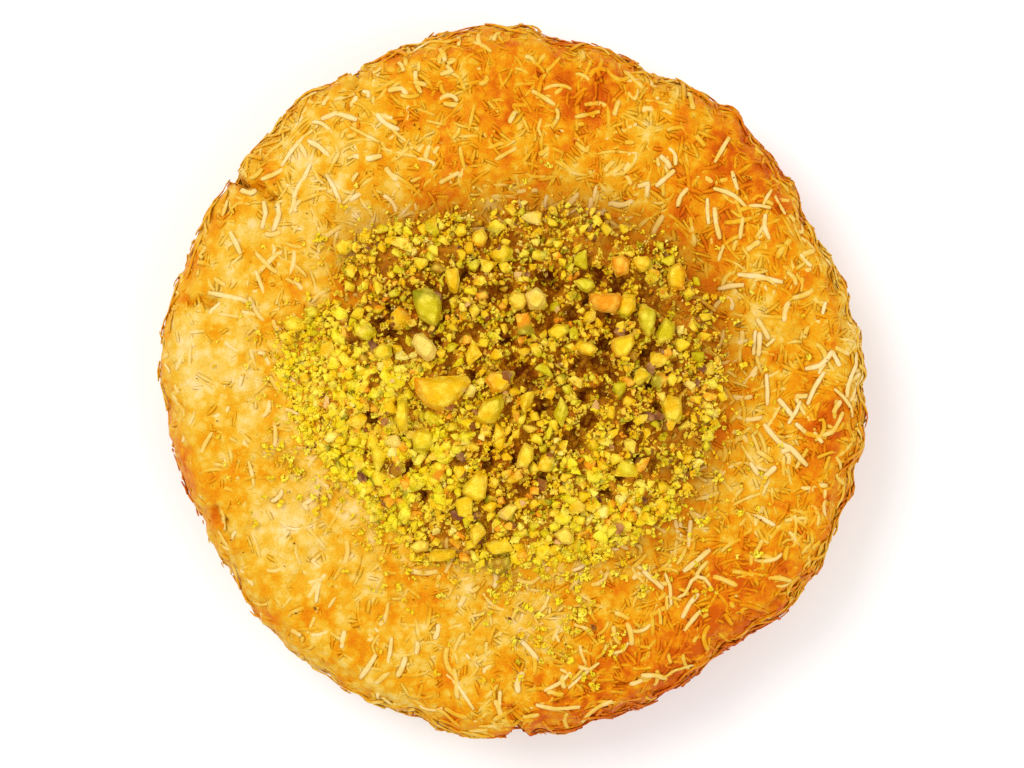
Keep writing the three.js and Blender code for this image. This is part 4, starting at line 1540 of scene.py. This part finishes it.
nutKinds = [
    {
        "name": "bedCrumbs", "count": 2400, "seed": 41, "form": "grain", "shapes": 12,
        "size": (0.9 * mm, 1.8 * mm), "skew": 1.1, "reach": 1.14, "tries": 3,
        "sink": 0.25, "skin": 0.01, "clear": 0,
    },
    {
        "name": "nutBits", "count": 2050, "seed": 37, "form": "cluster", "shapes": 16,
        "size": (1.5 * mm, 3.2 * mm), "skew": 1.2, "reach": 1.05, "tries": 4,
        "sink": 0.3, "skin": 0.01, "clear": 1.5 * mm,
    },
    {
        "name": "choppedNuts", "count": 900, "seed": 31, "form": "chopped", "shapes": 24,
        "size": (2.0 * mm, 4.4 * mm), "skew": 1.2, "reach": 1.02, "tries": 12,
        "sink": 0.3, "skin": 0.04, "clear": 8 * mm,
    },
    {
        "name": "brokenNuts", "count": 80, "seed": 29, "form": "broken", "shapes": 80,
        "size": (3.6 * mm, 5.2 * mm), "skew": 1.1, "reach": 0.94, "tries": 12,
        "sink": 0.3, "skin": 0.08, "clear": 9 * mm,
    },
    {
        "name": "clingingCrumbs", "count": 900, "seed": 43, "form": "cluster", "shapes": 12,
        "size": (1.0 * mm, 2.0 * mm), "skew": 1.2, "reach": 1.0, "tries": 3,
        "sink": 0.35, "skin": 0.01, "clear": 0,
    },
    {
        "name": "topCrumbs", "count": 700, "seed": 44, "form": "grain", "shapes": 12,
        "size": (0.6 * mm, 1.2 * mm), "skew": 1.1, "reach": 1.14, "tries": 2,
        "sink": 0.35, "skin": 0.01, "clear": 0,
    },
]
# Corners, width of the worn edges, extra cuts and roughness of each form of nut piece.
nutForms = {
    "grain": (8, 0, 0, 0.08),
    "chopped": (9, 0.035, 0, 0.03),
    "broken": (11, 0.035, 1, 0.035),
}
# The share of the heap's reach over which it thins out.
thinEdge = (0.92, 1.15)
# Left of this pixel the heap is thin and holds crumbs only.
fineSide = 335
toneShares = {
    "yellow": 0.36, "bright": 0.28, "butter": 0.06, "green": 0.20,
    "cream": 0.03, "orange": 0.06, "olive": 0.01,
}
# Where the heap is bright its pieces are pressed together and lie this much deeper.
pressedSink = 0.46
secondShare = 0.4
# How much darker and redder the small pieces that have dropped into a gap are.
gapShade = (0.42, 0.56, 0.45)
droppedSize = 3 * mm
# A piece takes the least covered of a few places. These metres are added where it should rather not lie.
shunned = {"thinEdge": 4 * mm, "fineSide": 3 * mm, "gap": 2.5 * mm}
fineSize = 3.1 * mm  # the largest crumb on the fine side
nearShare = 0.2  # of a piece's size, by which it keeps off an open gap
# How the scattered pieces differ: height and width as shares of length, lean in radians, and light.
nutSpread = {"height": (0.55, 0.9), "width": (0.6, 0.95), "lean": 0.5, "light": (0.9, 1.08)}
secondFade = (-0.05, 0.25)  # where along a piece its second tone comes in
nutLight = {"bright": 1.34, "dark": 0.28}


# Shares of the heap's area up to each angle, so that its pieces lie evenly.
evenAngles = np.linspace(-math.pi, math.pi, 721)
evenShares = np.cumsum(heapRadius(evenAngles) ** 2)
evenShares = (evenShares - evenShares[0]) / (evenShares[-1] - evenShares[0])


def makeNuts(kind):
    draw = np.random.default_rng(kind["seed"])
    count = kind["count"]
    least, most = kind["size"]
    size = np.sort(least + (most - least) * draw.uniform(0, 1, count) ** kind["skew"])[::-1]
    tries = draw.uniform(0, 1, (count, kind["tries"], 2))
    places = np.zeros((count, 3))
    height = size * draw.uniform(*nutSpread["height"], count)
    for i in range(count):
        best = None
        for u, v in tries[i]:
            angle = float(np.interp(u, evenShares, evenAngles))
            share = math.sqrt(v) * kind["reach"]
            reach = share * edgeAt(angle)
            x, y = reach * math.cos(angle), reach * math.sin(angle)
            low, depth = ground.under(x, y, size[i])
            depth += shunned["thinEdge"] * float(eased(thinEdge, share))
            if x < spotAt((fineSide, 0))[0] and size[i] > fineSize:
                depth += shunned["fineSide"]
            near = float(gapNear(x, y, size[i] * nearShare))
            depth += shunned["gap"] * float(openGap(x, y)) + kind["clear"] * near
            if best is None or depth < best[0]:
                best = (depth, x, y, low)
        _, x, y, low = best
        sink = kind["sink"] + pressedSink * (1 - float(shadeShare(x, y)))
        places[i] = (x, y, low + height[i] * (0.5 - sink))
        ground.lay(x, y, size[i], low + height[i] * (1 - sink), height[i])
    placeNuts(kind, places, size, height, draw)


def nutShape(kind, draw):
    if kind["form"] == "cluster":
        return crumbCluster(draw)
    return brokenChunk(*nutForms[kind["form"]], draw)


def placeNuts(kind, places, size, height, draw):
    count = len(places)
    spin = turnMatrices(draw.normal(0, nutSpread["lean"], count), draw.uniform(0, 2 * math.pi, count))
    slim = draw.uniform(*nutSpread["width"], count)
    scale = np.stack([size, size * slim, height], -1)
    if "tones" in kind:
        colours = np.array([linear(tone) for tone in kind["tones"]])[np.arange(count) % len(kind["tones"])]
    else:
        weights = np.array(list(toneShares.values()))
        picks = draw.choice(len(weights), count, p=weights / weights.sum())
        colours = np.array([linear(nutTones[name]) for name in toneShares])[picks]
    # Painted shade: pieces are darker where the heap lies in shade.
    light = nutLight["bright"] - nutLight["dark"] * shadeShare(places[:, 0], places[:, 1])
    dropped = openGap(places[:, 0], places[:, 1]) * (size < droppedSize)
    colours = colours * draw.uniform(*nutSpread["light"], (count, 1)) * light[:, None]
    colours = colours * (1 - dropped[:, None] * np.array(gapShade))
    seconds = np.array([linear(nutTones[name]) for name in secondTones])
    second = seconds[draw.integers(0, len(secondTones), count)]
    twoToned = draw.uniform(0, 1, count) < (0 if "tones" in kind else secondShare)
    skinned = draw.uniform(0, 1, count) < kind["skin"]
    shapes = [nutShape(kind, draw) for _ in range(kind["shapes"])]
    which = np.arange(count) % len(shapes)
    allPoints, allFaces, tints, skins = [], [], [], []
    offset = 0
    for s, (points, faces) in enumerate(shapes):
        chosen = np.flatnonzero(which == s)
        bits = np.einsum("nij,npj->npi", spin[chosen], points[None] * scale[chosen][:, None])
        bits = bits + places[chosen][:, None]
        offsets = (np.arange(len(chosen)) * len(points) + offset)[:, None, None]
        allPoints.append(bits.reshape(-1, 3))
        allFaces.append((faces[None] + offsets).reshape(-1, 3))
        aside = points @ unit(draw.normal(0, 1, 3))
        fade = twoToned[chosen][:, None] * eased(secondFade, aside)[None]
        mixed = blend(colours[chosen][:, None], second[chosen][:, None], fade[..., None])
        tints.append(np.minimum(mixed.reshape(-1, 3), brightest))
        cover = np.clip(0.5 + points[:, 0] * 2, 0, 1)
        skins.append((skinned[chosen][:, None] * cover[None]).ravel())
        offset += len(chosen) * len(points)
    finishNuts(kind, allPoints, allFaces, tints, skins)


for kind in nutKinds[:2]:
    makeNuts(kind)
makeLargeNuts()
for kind in nutKinds[2:]:
    makeNuts(kind)


# Crumbs that rolled off the heap: most of them towards the photograph's lower edge.
strays = {
    "name": "strayCrumbs", "count": 520, "seed": 47, "shapes": 14, "form": "cluster",
    "size": (0.8 * mm, 2.6 * mm), "together": (1.2 * mm, 2.8 * mm), "height": (0.6, 0.9),
    "skew": 1.9, "skin": 0.03, "from": 0.95, "fade": 5.5 * mm, "reach": 63 * mm,
    "sink": 0.25, "lift": 0.1 * mm, "least": 0.12,
    "tones": [(248, 216, 34), (250, 228, 70), (240, 196, 24), (246, 206, 30), (214, 206, 26)],
    "sides": [(-95, 35, 1.0), (-50, 30, 0.8), (-150, 30, 0.6), (165, 40, 0.5), (10, 40, 0.4)],
    # crumbs that lie close together: middle in the photograph's pixels, reach in pixels, how many
    "patches": [
        ((574, 613), 9, 16), ((589, 567), 11, 14), ((617, 638), 7, 9), ((591, 675), 6, 8), ((566, 652), 6, 7),
        ((649, 583), 5, 5), ((525, 640), 8, 9), ((500, 582), 14, 16), ((291, 465), 9, 12), ((325, 492), 7, 8),
        ((272, 452), 5, 5), ((708, 594), 5, 4), ((322, 243), 8, 7),
    ],
}


def makeStrays():
    draw = np.random.default_rng(strays["seed"])
    angle = draw.uniform(-math.pi, math.pi, strays["count"] * 4)
    likely = np.clip(swellsAt(strays["sides"], angle), strays["least"], 1)
    angle = angle[draw.uniform(0, 1, len(angle)) < likely][: strays["count"]]
    alone = len(angle)
    past = draw.exponential(strays["fade"], alone) * (0.6 + np.clip(swellsAt(strays["sides"], angle), 0, 1))
    radius = np.minimum(heapRadius(angle) * strays["from"] + past, strays["reach"])
    for pixel, reach, together in strays["patches"]:
        x, y = (at + draw.normal(0, reach * photoScale, together) for at in spotAt(pixel))
        angle = np.concatenate([angle, np.arctan2(y, x)])
        radius = np.concatenate([radius, np.hypot(x, y)])
    count = len(angle)
    low, high = strays["size"]
    size = low + (high - low) * draw.uniform(0, 1, count) ** strays["skew"]
    size[alone:] = draw.uniform(*strays["together"], count - alone)
    height = size * draw.uniform(*strays["height"], count)
    places = np.zeros((count, 3))
    for i in range(count):
        x, y = radius[i] * math.cos(angle[i]), radius[i] * math.sin(angle[i])
        under, _ = ground.under(x, y, size[i])
        places[i] = (x, y, under + height[i] * (0.5 - strays["sink"]) + strays["lift"])
    placeNuts(strays, places, size, height, draw)


makeStrays()


# Tiny burnt specks on the crust, some of them where the photograph shows them.
specks = {
    "name": "burntSpecks", "count": 70, "seed": 53, "shapes": 6, "form": "grain", "skin": 0,
    "size": (0.35 * mm, 0.8 * mm), "thickness": 0.7, "lift": 0.1 * mm, "reach": (50 * mm, 72 * mm),
    "slot": "kunafa_crust", "tones": [(110, 44, 6)],
    "finish": makeNut("burntSpeck", grainGroup, dict(nutLook, pale=(120, 52, 8), deep=(200, 150, 120))),
    "seen": [
        (745, 178), (748, 179), (793, 263), (796, 264), (732, 179), (764, 178),
        (786, 182), (601, 201), (557, 701),
    ],
}


def makeSpecks():
    draw = np.random.default_rng(specks["seed"])
    count = specks["count"]
    angle = draw.uniform(-math.pi, math.pi, count)
    reach = draw.uniform(*specks["reach"], count)
    for i, pixel in enumerate(specks["seen"]):
        x, y = spotAt(pixel)
        angle[i], reach[i] = math.atan2(y, x), math.hypot(x, y)
    here, normal = crustFrame(angle, runUnder(angle, reach))
    size = draw.uniform(*specks["size"], count)
    placeNuts(specks, here + normal * specks["lift"], size, size * specks["thickness"], draw)


# Thin shards of nut skin that lie on the heap.
shards = {
    "name": "skinShards", "count": 40, "seed": 59, "shapes": 20, "form": "grain", "skin": 0,
    "size": (1.6 * mm, 3.6 * mm), "thickness": 0.5 * mm,
    "tones": [(226, 190, 120), (112, 58, 44), (146, 94, 48), (88, 36, 32)],
    "finish": makeNut(
        "nutSkin", grainGroup, dict(nutLook, pale=(214, 160, 90), deep=(210, 160, 110), shine=0.6),
    ),
    "seen": [
        (594, 405), (617, 333), (370, 250), (478, 513), (468, 307), (527, 277), (400, 467), (507, 377),
        (556, 311), (648, 415), (451, 407), (462, 455),
    ],
}


def makeShards():
    draw = np.random.default_rng(shards["seed"])
    count = shards["count"]
    size = draw.uniform(*shards["size"], count)
    places = np.zeros((count, 3))
    for i in range(count):
        angle = draw.uniform(-math.pi, math.pi)
        reach = math.sqrt(draw.uniform(0, 1)) * 0.9 * edgeAt(angle)
        x, y = reach * math.cos(angle), reach * math.sin(angle)
        if i < len(shards["seen"]):
            x, y = spotAt(shards["seen"][i])
        places[i] = (x, y, ground.under(x, y, size[i])[0])
    placeNuts(shards, places, size, np.full(count, shards["thickness"]), draw)


makeSpecks()
makeShards()


# The place round it: a plain pale floor and soft studio light, the key from the upper left of the photograph.
studio = {
    "floor": 1.6,
    "floorColour": (0.96, 0.96, 0.96),
    "floorRough": 0.8,
    "skyStrength": 0.81,
    "lights": [
        {"name": "keyLight", "from": (-0.46, 0.36, 0.85), "size": 0.6, "watts": 5.0},
        {"name": "fillLight", "from": (0.6, -0.3, 0.8), "size": 0.8, "watts": 3.0},
    ],
}


def makeFloor():
    bm = bmesh.new()
    bmesh.ops.create_grid(bm, x_segments=2, y_segments=2, size=studio["floor"] / 2)
    mesh = bpy.data.meshes.new("floor")
    bm.to_mesh(mesh)
    bm.free()
    floor = placed("floor", mesh)
    material, _, shader = newMaterial("paleFloor")
    shader.inputs["Base Color"].default_value = (*studio["floorColour"], 1)
    shader.inputs["Roughness"].default_value = studio["floorRough"]
    mesh.materials.append(material)


def makeLights():
    for light in studio["lights"]:
        data = bpy.data.lights.new(light["name"], "AREA")
        data.shape = "DISK"
        data.size = light["size"]
        data.energy = light["watts"]
        lamp = bpy.data.objects.new(light["name"], data)
        bpy.context.scene.collection.objects.link(lamp)
        lamp.location = light["from"]
        lamp.rotation_euler = (-Vector(light["from"])).to_track_quat("-Z", "Y").to_euler()
    world = bpy.data.worlds.new("studioSky")
    world.use_nodes = True
    world.node_tree.nodes["Background"].inputs["Color"].default_value = (1, 1, 1, 1)
    world.node_tree.nodes["Background"].inputs["Strength"].default_value = studio["skyStrength"]
    bpy.context.scene.world = world
    bpy.context.scene.view_settings.view_transform = "Standard"
    bpy.context.scene.view_settings.look = "None"


makeFloor()
makeLights()
print("studio made")
